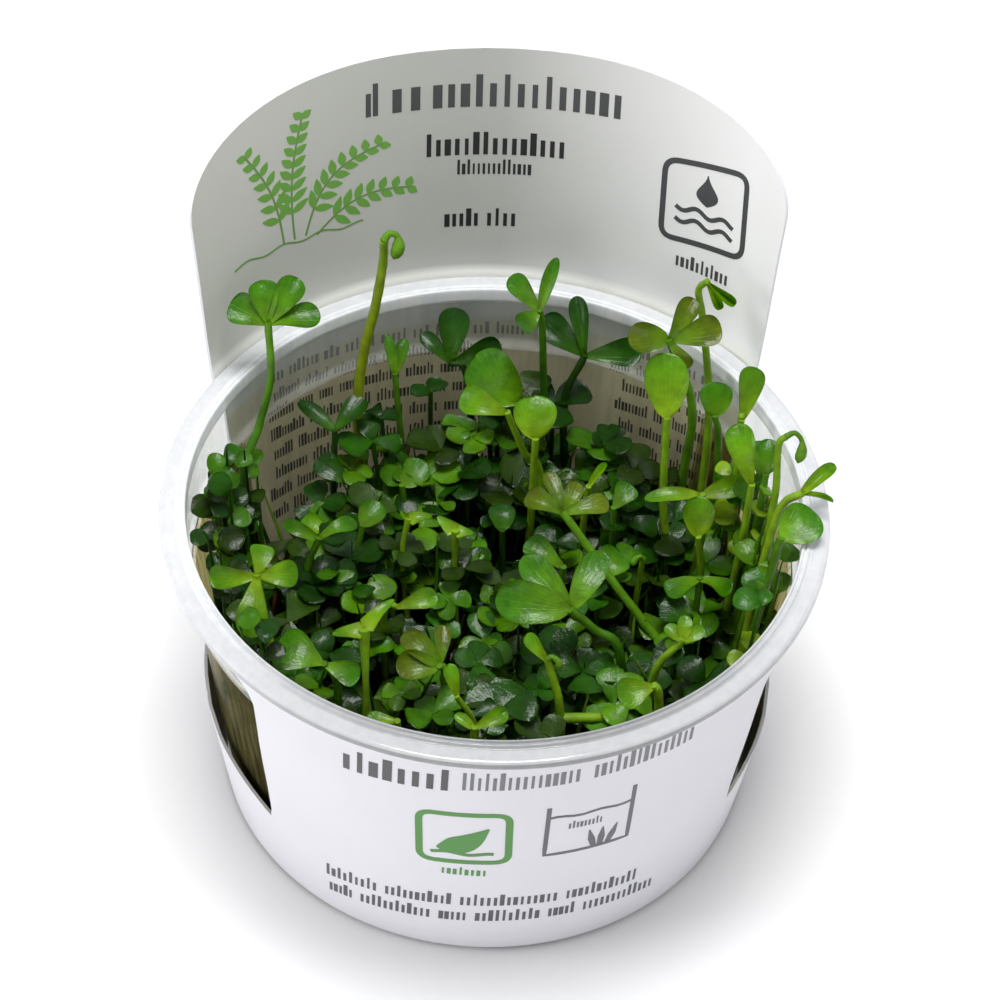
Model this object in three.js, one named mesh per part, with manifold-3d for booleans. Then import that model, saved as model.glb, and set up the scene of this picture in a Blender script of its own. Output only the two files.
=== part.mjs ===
// Water clover grown in a jar of gel: a clear plastic cup with a flanged rim, a printed card sleeve
// wrapped round it that stands up behind as a tall panel, a disc of nutrient gel, a low mat of young
// leaves, and the taller fronds that stand out of it, each one a petiole with its leaflets.
// Millimetres, +Z up. The origin is the middle of the cup's flat underside and the front faces -Y.
import * as THREE from "three";
import { mergeVertices } from "three/addons/utils/BufferGeometryUtils.js";
import Module from "manifold-3d";

const wasm = await Module();
wasm.setup();

// Driving dimensions of the cup.
const RIM_HEIGHT = 55.5;
const FLANGE_RADIUS = 50;
const FOOT_RADIUS = 40.9;
const COLLAR_RADIUS = 46.8;
const COLLAR_BOTTOM = 45;
const WALL = 0.8;
const FLOOR = 1;
const CUP_SEGMENTS = 36;

// Driving dimensions of the card sleeve. It lies under the flange in front and passes behind it at the
// back, so its inner radius is given at the foot and at the rim for each.
const CARD = 0.5;
const CARD_FOOT = 0.6;
const CARD_FRONT = { foot: 41.25, rim: 49.2 };
const CARD_BACK = { foot: 42, rim: 50.35 };
const PANEL_TOP = 96.1;
const BAND_TOP = 19;
const NOTCH_TIP = 16.4;
const FRONT_TOP = 53.6;
const PANEL_TURN = THREE.MathUtils.degToRad(-3);
const FRONT_TURN = THREE.MathUtils.degToRad(-1.7);
const CARD_SEGMENTS = 52;

// Driving dimensions of what grows in the cup.
const GAP = 0.3;
const GEL_TOP = 9;
const MAT_HEIGHT = 27;
const MAT_LUMP = 4.5;
const LUMPS = 34;
const PETIOLE = 0.75;
const LEAF_THICKNESS = 0.7;
const SOCKET = 1.5;

const UP = new THREE.Vector3(0, 0, 1);

// Materials by their look in daylight.
const CLEAR = { color: 0xe8eef0, roughness: 0.08, metalness: 0, transparent: true, opacity: 0.35 };
const WHITE_CARD = { color: 0xf1f0f5, roughness: 0.45, metalness: 0 };
const GEL = { color: 0xb9b48a, roughness: 0.15, metalness: 0, transparent: true, opacity: 0.6 };
const MAT = { color: 0x2c5a1c, roughness: 0.4, metalness: 0 };
const LEAF_TONES = {
  bright: { color: 0x86c81e, roughness: 0.35, metalness: 0 },
  green: { color: 0x4f9a1e, roughness: 0.35, metalness: 0 },
  deep: { color: 0x236324, roughness: 0.3, metalness: 0 },
  olive: { color: 0x8f8a32, roughness: 0.35, metalness: 0 },
};

// Closed geometry to solid: shared vertices are merged and triangles of no width are dropped.
function toSolid(geometry) {
  const plain = geometry.clone();
  plain.deleteAttribute("normal");
  plain.deleteAttribute("uv");
  const merged = mergeVertices(plain, 1e-3);
  const index = merged.index.array;
  const kept = [];
  for (let i = 0; i < index.length; i += 3) {
    const [a, b, c] = [index[i], index[i + 1], index[i + 2]];
    if (a !== b && b !== c && c !== a) kept.push(a, b, c);
  }
  const mesh = new wasm.Mesh({
    numProp: 3,
    vertProperties: merged.attributes.position.array,
    triVerts: new Uint32Array(kept),
  });
  return new wasm.Manifold(mesh);
}

// Solid back to geometry, for a mesh of its own.
function toGeometry(solid) {
  const { vertProperties, triVerts } = solid.getMesh();
  const geometry = new THREE.BufferGeometry();
  geometry.setAttribute("position", new THREE.BufferAttribute(vertProperties, 3));
  geometry.setIndex(new THREE.BufferAttribute(triVerts, 1));
  geometry.computeVertexNormals();
  return geometry;
}

const jar = new THREE.Group();
const plant = new THREE.Group();
jar.add(plant);

function addPiece(group, name, solid, look) {
  const mesh = new THREE.Mesh(toGeometry(solid), new THREE.MeshStandardMaterial(look));
  mesh.name = name;
  group.add(mesh);
}

// A profile of [radius, height] points turned about the Z axis.
function turned(profile, segments) {
  const points = profile.map(([r, z]) => new THREE.Vector2(r, z));
  return new THREE.LatheGeometry(points, segments).rotateX(Math.PI / 2);
}

// Inner radius of the cup's wall and of the card at a height.
const WALL_TOP_RADIUS = COLLAR_RADIUS - WALL - 1.1;
const wallRadius = (z) =>
  THREE.MathUtils.mapLinear(z, FLOOR, COLLAR_BOTTOM, FOOT_RADIUS - WALL, WALL_TOP_RADIUS);
const cardRadius = (z, side) => THREE.MathUtils.mapLinear(z, 0, RIM_HEIGHT, side.foot, side.rim);

// Cup: flat foot, tapered wall, a step out to the collar, a bead, and a flange with a short lip.
function cup() {
  const lip = 1.5;
  const bead = 0.5;
  const profile = [
    [0, 0],
    [FOOT_RADIUS - 1.2, 0],
    [FOOT_RADIUS - 0.2, 0.5],
    [WALL_TOP_RADIUS + WALL, COLLAR_BOTTOM - 1],
    [COLLAR_RADIUS, COLLAR_BOTTOM],
    [COLLAR_RADIUS + 0.3, RIM_HEIGHT - 0.9],
    [FLANGE_RADIUS - WALL, RIM_HEIGHT - 0.9],
    [FLANGE_RADIUS - WALL, RIM_HEIGHT - lip],
    [FLANGE_RADIUS, RIM_HEIGHT - lip],
    [FLANGE_RADIUS, RIM_HEIGHT - 0.4],
    [FLANGE_RADIUS - 0.5, RIM_HEIGHT],
    [COLLAR_RADIUS + 0.4, RIM_HEIGHT],
    [COLLAR_RADIUS, RIM_HEIGHT + bead],
    [COLLAR_RADIUS - 0.7, RIM_HEIGHT + bead],
    [COLLAR_RADIUS - 1, RIM_HEIGHT - 0.3],
    [COLLAR_RADIUS - WALL - 0.1, COLLAR_BOTTOM + 0.4],
    [WALL_TOP_RADIUS, COLLAR_BOTTOM - 0.6],
    [FOOT_RADIUS - WALL, FLOOR + 0.8],
    [FOOT_RADIUS - WALL - 1, FLOOR],
    [0, FLOOR],
  ];
  return toSolid(turned(profile, CUP_SEGMENTS));
}

// An outline drawn as seen from the side, with y across and z up, as a slab along X.
function slabAlongX(outline, reach) {
  const slab = new THREE.ExtrudeGeometry(outline, { depth: 2 * reach, bevelEnabled: false });
  const axes = new THREE.Matrix4().makeBasis(
    new THREE.Vector3(0, 1, 0),
    UP,
    new THREE.Vector3(1, 0, 0),
  );
  return slab.applyMatrix4(axes).translate(-reach, 0, 0);
}

// An outline drawn as seen from the front, with x across and z up, as a slab towards +Y.
function slabAlongY(outline, near, far) {
  const slab = new THREE.ExtrudeGeometry(outline, { depth: far - near, bevelEnabled: false });
  return slab.rotateX(Math.PI / 2).translate(0, far, 0);
}

// The rolled card before it is cut: the front's cone, eased out to the back's over the two sides.
function rolledCard() {
  const foot = cardRadius(CARD_FOOT, CARD_FRONT);
  const top = cardRadius(PANEL_TOP, CARD_FRONT);
  const profile = [
    [foot, CARD_FOOT],
    [foot + CARD, CARD_FOOT],
    [top + CARD, PANEL_TOP],
    [top, PANEL_TOP],
    [foot, CARD_FOOT],
  ];
  const roll = turned(profile, CARD_SEGMENTS);
  const place = roll.attributes.position;
  for (let i = 0; i < place.count; i += 1) {
    const [x, y, z] = [place.getX(i), place.getY(i), place.getZ(i)];
    const fromFront = THREE.MathUtils.radToDeg(Math.atan2(Math.abs(x), -y));
    const ease = THREE.MathUtils.smoothstep(fromFront, 88, 118);
    const widen = 1 + (ease * (cardRadius(z, CARD_BACK) - cardRadius(z, CARD_FRONT))) / Math.hypot(x, y);
    place.setXY(i, x * widen, y * widen);
  }
  return toSolid(roll);
}

// Card sleeve: the rolled card cut by three outlines, which are the front with its band, the rear of
// the band with the webs that carry the panel, and the panel itself with its rounded top corners.
function cardSleeve() {
  const reach = 70;
  const front = new THREE.Shape();
  front.moveTo(-reach, 0);
  front.lineTo(0, 0);
  front.lineTo(0, BAND_TOP);
  front.lineTo(-13, BAND_TOP);
  front.quadraticCurveTo(-22, BAND_TOP - 0.3, -26.8, NOTCH_TIP);
  front.quadraticCurveTo(-27.7, 20, -28.1, 26);
  front.lineTo(-30.5, 43);
  front.lineTo(-32, 50);
  front.quadraticCurveTo(-32.6, FRONT_TOP, -36, FRONT_TOP);
  front.lineTo(-reach, FRONT_TOP);

  const web = new THREE.Shape();
  web.moveTo(-6, 0);
  web.lineTo(reach, 0);
  web.lineTo(reach, 34);
  web.lineTo(25.6, 34);
  web.bezierCurveTo(24.5, 24, 19, BAND_TOP, 6, BAND_TOP);
  web.lineTo(-6, BAND_TOP);

  const panel = new THREE.Shape();
  panel.moveTo(37.5, BAND_TOP);
  panel.lineTo(42.2, RIM_HEIGHT);
  panel.lineTo(44.5, 83);
  panel.bezierCurveTo(45, 93.5, 34, PANEL_TOP, 14, PANEL_TOP + 0.1);
  panel.lineTo(-14, PANEL_TOP + 0.1);
  panel.bezierCurveTo(-34, PANEL_TOP, -45, 93.5, -44.5, 83);
  panel.lineTo(-42.2, RIM_HEIGHT);
  panel.lineTo(-37.5, BAND_TOP);

  const kept = toSolid(slabAlongX(front, reach).rotateZ(FRONT_TURN))
    .add(toSolid(slabAlongX(web, reach).rotateZ(PANEL_TURN)))
    .add(toSolid(slabAlongY(panel, 10, reach).rotateZ(PANEL_TURN)));
  return rolledCard().intersect(kept);
}

// Nutrient gel: a disc that fills the bottom of the cup.
function nutrientGel() {
  const bottom = FLOOR + GAP;
  const profile = [
    [0, bottom],
    [wallRadius(bottom) - 1.2, bottom],
    [wallRadius(bottom + 1) - GAP, bottom + 1],
    [wallRadius(GEL_TOP) - GAP, GEL_TOP],
    [0, GEL_TOP],
  ];
  return toSolid(turned(profile, CUP_SEGMENTS));
}

// Height of the mat at a place: lumps spread evenly by the golden angle, each a clump of leaves.
function matHeight(x, y) {
  const goldenAngle = Math.PI * (3 - Math.sqrt(5));
  let height = MAT_HEIGHT;
  for (let i = 0; i < LUMPS; i += 1) {
    const r = 41 * Math.sqrt((i + 0.5) / LUMPS);
    const near = Math.hypot(x - r * Math.cos(i * goldenAngle), y - r * Math.sin(i * goldenAngle));
    const rise = MAT_LUMP * (1 - 0.5 * ((i * 7) % 5) * 0.25);
    height = Math.max(height, MAT_HEIGHT + rise * (1 - (near / 5) ** 2));
  }
  return height;
}

// Undergrowth: the mat of small leaves and stems as one lumpy body, from the gel to its leaf tips.
function undergrowth() {
  const bottom = GEL_TOP + GAP;
  const edge = wallRadius(MAT_HEIGHT) - 2 * GAP;
  const rings = 7;
  const profile = [
    [0, bottom],
    [wallRadius(bottom) - 2 * GAP, bottom],
  ];
  for (let i = 0; i < rings; i += 1) profile.push([edge * (1 - i / rings), MAT_HEIGHT]);
  profile.push([0, MAT_HEIGHT]);
  const geometry = turned(profile, 26);
  const place = geometry.attributes.position;
  for (let i = 0; i < place.count; i += 1) {
    if (place.getZ(i) > MAT_HEIGHT - 1) place.setZ(i, matHeight(place.getX(i), place.getY(i)));
  }
  return toSolid(geometry);
}

// Petiole: a tube of five or fewer sides along its points, longer by a margin where it is a cutter.
function petiole(points, sides, radius, margin) {
  const route = points.map((p) => new THREE.Vector3(...p));
  route[0].z -= margin;
  const side = new THREE.Shape();
  side.moveTo(radius, 0);
  for (let i = 1; i < sides; i += 1) {
    const a = (i * 2 * Math.PI) / sides;
    side.lineTo(radius * Math.cos(a), radius * Math.sin(a));
  }
  const steps = route.length === 2 ? 1 : route.length;
  const extrudePath = new THREE.CatmullRomCurve3(route);
  return toSolid(new THREE.ExtrudeGeometry(side, { steps, extrudePath, bevelEnabled: false }));
}

// Leaflet: a thin lens from the hub to its tip, wider towards the tip, its upper side facing as told.
function leaflet(hub, [dx, dy, dz, width], face) {
  const along = new THREE.Vector3(dx, dy, dz);
  const length = along.length() + PETIOLE;
  along.normalize();
  const across = new THREE.Vector3().crossVectors(along, face).normalize();
  const normal = new THREE.Vector3().crossVectors(across, along);
  const half = LEAF_THICKNESS / 2;
  const lens = new THREE.LatheGeometry(
    [new THREE.Vector2(0, -half), new THREE.Vector2(1, 0), new THREE.Vector2(0, half)],
    8,
  );
  const place = lens.attributes.position;
  for (let i = 0; i < place.count; i += 1) {
    const towardsTip = -place.getZ(i);
    place.setX(i, place.getX(i) * (width / 2) * (1 + 0.4 * towardsTip));
    place.setZ(i, (place.getZ(i) * length) / 2);
  }
  const axes = new THREE.Matrix4().makeBasis(across, normal, along.clone().negate());
  const middle = hub.clone().addScaledVector(along, length / 2 - PETIOLE);
  return toSolid(lens.applyMatrix4(axes).translate(middle.x, middle.y, middle.z));
}

// Frond: a petiole, its leaflets and any runner that creeps from it, grown together in one piece.
function frond({ stem, face, leaflets, runner }) {
  const [last, before] = [stem.at(-1), stem.at(-2)].map((p) => new THREE.Vector3(...p));
  const hub = last.clone().addScaledVector(before.sub(last).normalize(), 0.4);
  let body = petiole(stem, 5, PETIOLE, 0);
  if (runner) body = body.add(petiole(runner, 5, PETIOLE, 0));
  for (const tip of leaflets) body = body.add(leaflet(hub, tip, new THREE.Vector3(...face)));
  return body;
}

// The side that a frond's leaflets show upwards: level, tipped to the front, or facing the front.
const LEVEL = [0, -0.1, 1];
const TIPPED = [-0.05, -0.45, 0.9];
const FACING = [-0.1, -0.75, 0.66];
const ROOT = GEL_TOP + GAP;

// The fronds, back to front. A stem runs from its root to the hub, and each leaflet is the step from
// the hub to its tip and its width.
const FRONDS = {
  crozier_tall: {
    tone: "bright",
    stem: [[-17, 31, ROOT], [-18, 34, 45], [-15, 35, 65], [-14, 36, 72], [-14, 35, 77]],
    face: FACING,
    leaflets: [[1, -2, -2, 2]],
  },
  blades_back_left: {
    tone: "green",
    stem: [[-9, 31, ROOT], [-12, 36, 48]],
    face: FACING,
    leaflets: [[-1, 4, 5, 1.5], [2, 4, 4, 2]],
  },
  dark_clover_back: {
    tone: "deep",
    stem: [[2, 34, ROOT], [0, 38, 43], [-3, 39, 47]],
    face: FACING,
    leaflets: [[1, 5, 7, 5], [-4, 3, 3, 2.5], [8, 1, 3, 3.5]],
  },
  big_leaf_back: {
    tone: "green",
    stem: [[11, 27, ROOT], [8, 30, 40], [7, 29, 47]],
    face: FACING,
    leaflets: [[-6, 5, 5, 7.5]],
  },
  sprig_back_centre: {
    tone: "green",
    stem: [[14, 36, ROOT], [11, 33, 55], [10, 32, 64]],
    face: FACING,
    leaflets: [[3, 5, 6, 2], [-4, 4, 4, 3], [-3, -2, -2, 3.5]],
  },
  trio_back: {
    tone: "deep",
    stem: [[18, 29, ROOT], [15, 33, 40], [18, 34, 52]],
    face: FACING,
    leaflets: [[-6, 5, 4, 4.5], [-1, 6, 7, 3.5], [9, -1, 1, 4.5]],
  },
  olive_clover_right: {
    tone: "olive",
    stem: [[31, 21, ROOT], [33, 21, 38], [33, 21, 53], [29, 24, 64]],
    face: FACING,
    leaflets: [[-6, 1, 0, 4.5], [4, 4, 5, 3], [8, 0, 2, 4.5], [3, -3, -3, 2]],
  },
  crozier_right_back: {
    tone: "bright",
    stem: [[34, 16, ROOT], [36, 20, 46], [35, 27, 63], [34, 29, 69], [35, 28, 72]],
    face: FACING,
    leaflets: [[2, -3, -3, 2]],
  },
  clover_tall_left: {
    tone: "bright",
    stem: [[-33, 12, ROOT], [-37, 18, 41], [-34, 24, 50], [-32, 26, 58], [-32, 30, 66]],
    face: FACING,
    leaflets: [[-5, 3, 2, 5], [0, 4, 5, 4], [5, 4, 5, 4.5], [8, 0, 1, 4]],
  },
  pair_back_left: {
    tone: "deep",
    stem: [[-23, 25, ROOT], [-22, 29, 43]],
    face: TIPPED,
    leaflets: [[-5, 5, 2, 2], [5, 4, 3, 3.5]],
  },
  leaf_left_back: {
    tone: "deep",
    stem: [[-37, 9, ROOT], [-39, 13, 43]],
    face: FACING,
    leaflets: [[-1, 5, 5, 3.5]],
  },
  veined_leaf_back_left: {
    tone: "deep",
    stem: [[-18, 20, ROOT], [-20, 23, 37]],
    face: TIPPED,
    leaflets: [[-5, 4, 2, 4]],
  },
  leaf_back_left_low: {
    tone: "green",
    stem: [[-9, 18, ROOT], [-12, 21, 38]],
    face: TIPPED,
    leaflets: [[4, 3, 2, 4]],
  },
  spoon_leaf: {
    tone: "bright",
    stem: [[8, 20, ROOT], [8, 16, 30], [8, 16, 52]],
    face: FACING,
    leaflets: [[0, 4, 5, 6.5]],
  },
  bright_leaf_middle: {
    tone: "bright",
    stem: [[11, 13, ROOT], [10, 20, 38], [7, 20, 45], [4, 20, 54]],
    face: TIPPED,
    leaflets: [[-6, 3, 1, 4]],
  },
  hooked_sprout_back: {
    tone: "bright",
    stem: [[15, 14, ROOT], [16, 11, 46]],
    face: TIPPED,
    leaflets: [[3, 3, 2, 1.5]],
  },
  folded_leaf_light: {
    tone: "bright",
    stem: [[26, 8, ROOT], [29, 10, 28], [28, 12, 42], [28, 15, 56]],
    face: FACING,
    leaflets: [[0, 7, 7, 6.5]],
  },
  round_leaf_right: {
    tone: "green",
    stem: [[37, 10, ROOT], [37, 16, 46], [36, 17, 54]],
    face: FACING,
    leaflets: [[0, 3, 4, 5]],
  },
  tall_leaf_right: {
    tone: "bright",
    stem: [[39, 4, ROOT], [39, 12, 54], [39, 12, 58]],
    face: FACING,
    leaflets: [[2, 5, 6, 4]],
  },
  wall_leaf_right: {
    tone: "green",
    stem: [[38.5, 0, ROOT], [41, 2, 48], [41.5, 3, 55]],
    face: FACING,
    leaflets: [[1, 4, 4, 3]],
  },
  veined_leaf_right: {
    tone: "bright",
    stem: [[35, -3, ROOT], [38, 0, 36], [38.5, 0, 46], [39, 1, 55]],
    face: FACING,
    leaflets: [[-2, 6, 7, 4]],
  },
  pointed_pair_right: {
    tone: "bright",
    stem: [[31, 5, ROOT], [34, 7, 42], [33, 7, 47]],
    face: TIPPED,
    leaflets: [[-9, 0, 0, 2], [6, 1, 1, 3]],
  },
  round_leaf_right_low: {
    tone: "bright",
    stem: [[32, -2, ROOT], [33, 2, 33], [32, 2, 43]],
    face: FACING,
    leaflets: [[0, 4, 5, 4.5]],
  },
  pair_over_rim: {
    tone: "bright",
    stem: [[37, -14, ROOT], [38, -11, 34], [40, -8, 47], [42, -6, 57], [45, -6, 60]],
    face: TIPPED,
    leaflets: [[6, 4, 2, 2], [5, -1, -1, 1.5]],
  },
  crozier_far_right: {
    tone: "bright",
    stem: [[38.5, -7, ROOT], [41, -4, 45], [42, -2, 56], [42, 0, 64], [43, 0, 66]],
    face: FACING,
    leaflets: [[2, -3, -3, 1.5]],
  },
  round_leaf_far_right: {
    tone: "bright",
    stem: [[35, -18, ROOT], [38, -15, 38], [41, -12, 57]],
    face: TIPPED,
    leaflets: [[6, 3, 2, 6.5]],
  },
  olive_lobed_leaf: {
    tone: "olive",
    stem: [[27, -14, ROOT], [26, -9, 28], [23, -6, 33], [19, -3, 38], [11, 4, 48]],
    face: TIPPED,
    leaflets: [[-1, 6, 3, 2.5], [3, 4, 2, 2.5], [6, 1, 1, 3.5], [-5, 3, 1, 4]],
  },
  leaf_right_of_middle: {
    tone: "green",
    stem: [[21, 10, ROOT], [20, 10, 42]],
    face: TIPPED,
    leaflets: [[3, 3, 2, 3.5]],
  },
  small_crozier: {
    tone: "bright",
    stem: [[22, 1, ROOT], [23, 0, 35], [23, -1, 42]],
    face: FACING,
    leaflets: [[-2, -1, 0, 1]],
  },
  roof_leaf_pair: {
    tone: "green",
    stem: [[31, -7, ROOT], [32, -2, 38]],
    face: LEVEL,
    leaflets: [[-5, -3, 0, 4], [4, -3, 0, 4]],
  },
  glossy_round_leaf: {
    tone: "deep",
    stem: [[29, -12, ROOT], [30, -7, 35]],
    face: TIPPED,
    leaflets: [[-4, 2, 1, 5]],
  },
  three_leaf_front: {
    tone: "green",
    stem: [[19, -15, ROOT], [18, -15, 36], [14, -14, 41], [10, -14, 46]],
    face: TIPPED,
    leaflets: [[-10, 3, 1, 6], [-6, 8, 3, 5], [6, 7, 4, 5]],
  },
  round_leaf_middle: {
    tone: "green",
    stem: [[17, 2, ROOT], [17, 0, 38]],
    face: TIPPED,
    leaflets: [[3, 3, 1, 5]],
  },
  shaded_leaf_middle: {
    tone: "green",
    stem: [[10, 1, ROOT], [11, 0, 40]],
    face: TIPPED,
    leaflets: [[-5, 4, 2, 3.5]],
  },
  dark_round_leaf: {
    tone: "deep",
    stem: [[4, 10, ROOT], [3, 12, 36]],
    face: TIPPED,
    leaflets: [[0, 4, 2, 4]],
  },
  round_leaf_small: {
    tone: "deep",
    stem: [[0, 4, ROOT], [-1, 7, 33]],
    face: TIPPED,
    leaflets: [[0, 3, 2, 3.5]],
  },
  forked_sprout_middle: {
    tone: "bright",
    stem: [[-4, -1, ROOT], [-5, 5, 30], [-5, 7, 42]],
    face: TIPPED,
    leaflets: [[-2, 2, 1, 1], [2, 0, 0, 1]],
  },
  flag_sprout: {
    tone: "bright",
    stem: [[-11, 5, ROOT], [-13, 8, 34], [-12, 10, 42]],
    face: TIPPED,
    leaflets: [[3, 0, 0, 1.5], [-1, 1, 1, 1]],
  },
  leaf_left_of_middle: {
    tone: "green",
    stem: [[-18, 2, ROOT], [-20, 9, 31], [-19, 11, 40]],
    face: TIPPED,
    leaflets: [[3, 3, 2, 4]],
  },
  light_leaf_left: {
    tone: "bright",
    stem: [[-26, 10, ROOT], [-24, 13, 36]],
    face: TIPPED,
    leaflets: [[-4, 3, 1, 3]],
  },
  curved_leaf_left: {
    tone: "bright",
    stem: [[-25, -2, ROOT], [-28, 6, 32], [-26, 7, 42]],
    face: TIPPED,
    leaflets: [[6, 2, 1, 2.5]],
  },
  low_leaf_far_left: {
    tone: "bright",
    stem: [[-37, 1, ROOT], [-40, 4, 42]],
    face: FACING,
    leaflets: [[-1, 3, 4, 2.5]],
  },
  clover_front_left: {
    tone: "bright",
    stem: [[-31, -11, ROOT], [-34, -13, 37], [-35, -11, 44], [-36, -9, 52]],
    face: TIPPED,
    leaflets: [[-6, 1, 0, 3], [1, 4, 2, 3], [6, 0, 0, 3.5], [-2, -8, -4, 4]],
  },
  big_leaf_front_left: {
    tone: "bright",
    stem: [[-25, -17, ROOT], [-25, -20, 38], [-27, -20, 44]],
    face: TIPPED,
    leaflets: [[-6, 3, 1, 6.5], [5, -2, -1, 3.5]],
  },
  arrow_leaf_front: {
    tone: "bright",
    stem: [[-21, -20, ROOT], [-21, -23, 35], [-21, -19, 50]],
    face: TIPPED,
    leaflets: [[-4, 0, 0, 1.5], [4, 3, 2, 2]],
  },
  small_leaf_left_of_middle: {
    tone: "bright",
    stem: [[-16, -6, ROOT], [-17, -6, 38], [-15, -8, 42]],
    face: TIPPED,
    leaflets: [[6, 1, 1, 3]],
  },
  olive_pair_front: {
    tone: "olive",
    stem: [[-9, -14, ROOT], [-9, -19, 38], [-10, -20, 42]],
    face: TIPPED,
    leaflets: [[-5, 5, 2, 3.5], [-6, 1, 0, 4], [1, 5, 3, 2.5]],
  },
  three_lobe_sprout: {
    tone: "bright",
    stem: [[23, -18, ROOT], [22, -21, 37], [26, -21, 46]],
    face: TIPPED,
    leaflets: [[-2, 2, 1, 2], [1, 3, 2, 2], [3, 1, 1, 2]],
  },
  round_leaf_front_right: {
    tone: "bright",
    stem: [[24, -24, ROOT], [22, -27, 39], [21, -27, 43]],
    face: TIPPED,
    leaflets: [[-5, -1, -1, 4.5]],
  },
  runner_front: {
    tone: "bright",
    stem: [[8, -22, ROOT], [8, -24, 33], [6, -21, 43]],
    face: FACING,
    leaflets: [[2, -1, -1, 1], [-3, 3, 3, 2]],
    runner: [[7, -24, 33], [17, -24, 32.5]],
  },
  stem_leaf_front: {
    tone: "bright",
    stem: [[-3, -23, ROOT], [-5, -26, 34], [-8, -26, 42]],
    face: FACING,
    leaflets: [[-1, 3, 4, 2]],
  },
  forked_sprout_front: {
    tone: "bright",
    stem: [[-6, -30, ROOT], [-6, -32, 42]],
    face: TIPPED,
    leaflets: [[-2, 2, 1, 1.5], [5, 2, 1, 2.5]],
  },
  light_leaf_front: {
    tone: "bright",
    stem: [[-15, -27, ROOT], [-17, -30, 42]],
    face: LEVEL,
    leaflets: [[-4, 1, 0, 2]],
  },
};

addPiece(jar, "cup", cup(), CLEAR);
addPiece(jar, "card_sleeve", cardSleeve(), WHITE_CARD);
addPiece(plant, "nutrient_gel", nutrientGel(), GEL);

// The mat keeps clear of the petioles that rise through it, in a square socket round each.
let mat = undergrowth();
for (const { stem } of Object.values(FRONDS)) mat = mat.subtract(petiole(stem, 4, SOCKET, GAP));
addPiece(plant, "undergrowth", mat, MAT);
for (const [name, shape] of Object.entries(FRONDS)) {
  addPiece(plant, name, frond(shape), LEAF_TONES[shape.tone]);
}

export default jar;
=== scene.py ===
import math
import random

import bpy
import numpy as np
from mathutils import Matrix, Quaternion, Vector
from mathutils.geometry import delaunay_2d_cdt
from mathutils.noise import noise


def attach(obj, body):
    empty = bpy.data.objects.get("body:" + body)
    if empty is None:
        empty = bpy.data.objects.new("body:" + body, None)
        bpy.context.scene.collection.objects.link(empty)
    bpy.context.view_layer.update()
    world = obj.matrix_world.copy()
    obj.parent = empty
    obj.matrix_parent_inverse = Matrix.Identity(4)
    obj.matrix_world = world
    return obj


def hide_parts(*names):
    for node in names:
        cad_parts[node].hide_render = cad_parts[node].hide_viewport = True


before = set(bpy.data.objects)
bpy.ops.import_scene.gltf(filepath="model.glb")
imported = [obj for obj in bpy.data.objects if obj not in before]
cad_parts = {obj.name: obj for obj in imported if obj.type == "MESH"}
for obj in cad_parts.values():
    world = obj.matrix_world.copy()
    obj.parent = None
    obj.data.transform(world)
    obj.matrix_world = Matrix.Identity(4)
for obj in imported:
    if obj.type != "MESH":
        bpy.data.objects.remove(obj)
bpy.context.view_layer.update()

MM = 0.001

# The view: the jar stands on a plain pale floor and is seen from in front and above, in the soft light
# of a table-top photograph: one wide light overhead, one in front, one low at each side and a pale room.
EYE = Vector((-43.2, -307.3, 381.4))
AIM = Vector((0.7, 0.0, 55.6))
EYE_ROLL = math.radians(2.84)
LENS = 108.7
FLOOR_REACH = 2500

camera = bpy.data.objects.new("camera", bpy.data.cameras.new("camera"))
camera.data.lens = LENS
camera.data.sensor_width = 36
camera.data.clip_start = 0.01
camera.location = EYE * MM
camera.rotation_mode = "QUATERNION"
camera.rotation_quaternion = (AIM - EYE).to_track_quat("-Z", "Y") @ Quaternion((0, 0, 1), EYE_ROLL)
bpy.context.collection.objects.link(camera)
bpy.context.scene.camera = camera
bpy.context.scene.view_settings.view_transform = "Standard"


def soft_light(name, place, watts, width):
    """A square light that faces the middle of the jar."""
    light = bpy.data.lights.new(name, "AREA")
    light.energy, light.size = watts, width
    lamp = bpy.data.objects.new(name, light)
    lamp.location = place
    lamp.rotation_mode = "QUATERNION"
    lamp.rotation_quaternion = (Vector((0, 0, 0.05)) - Vector(place)).to_track_quat("-Z", "Y")
    bpy.context.collection.objects.link(lamp)


soft_light("light_overhead", (0, -0.01, 0.8), 4.9, 0.28)
soft_light("light_front", (-0.4, -0.75, 0.2), 0.9, 0.4)
soft_light("light_left", (-0.7, -0.05, 0.3), 1.5, 0.3)
soft_light("light_right", (0.7, 0.1, 0.3), 0.3, 0.3)

room = bpy.data.worlds.new("room")
room.use_nodes = True
room.node_tree.nodes["Background"].inputs["Color"].default_value = (0.98, 0.985, 1, 1)
room.node_tree.nodes["Background"].inputs["Strength"].default_value = 0.4
bpy.context.scene.world = room


def seen(*rgb):
    """A colour as it looks in daylight, 0 to 255, as the linear values that a shader takes."""
    return tuple(v / 255 / 12.92 if v < 10 else ((v / 255 + 0.055) / 1.055) ** 2.4 for v in rgb)


def new_finish(name, colour, roughness, **sockets):
    """A material with its uniform values set on its shader. Returns it with its shader."""
    finish = bpy.data.materials.new(name)
    finish.use_nodes = True
    shader = finish.node_tree.nodes["Principled BSDF"]
    shader.inputs["Base Color"].default_value = (*colour, 1)
    shader.inputs["Roughness"].default_value = roughness
    for socket, value in sockets.items():
        shader.inputs[socket.replace("_", " ")].default_value = value
    return finish, shader


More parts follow.
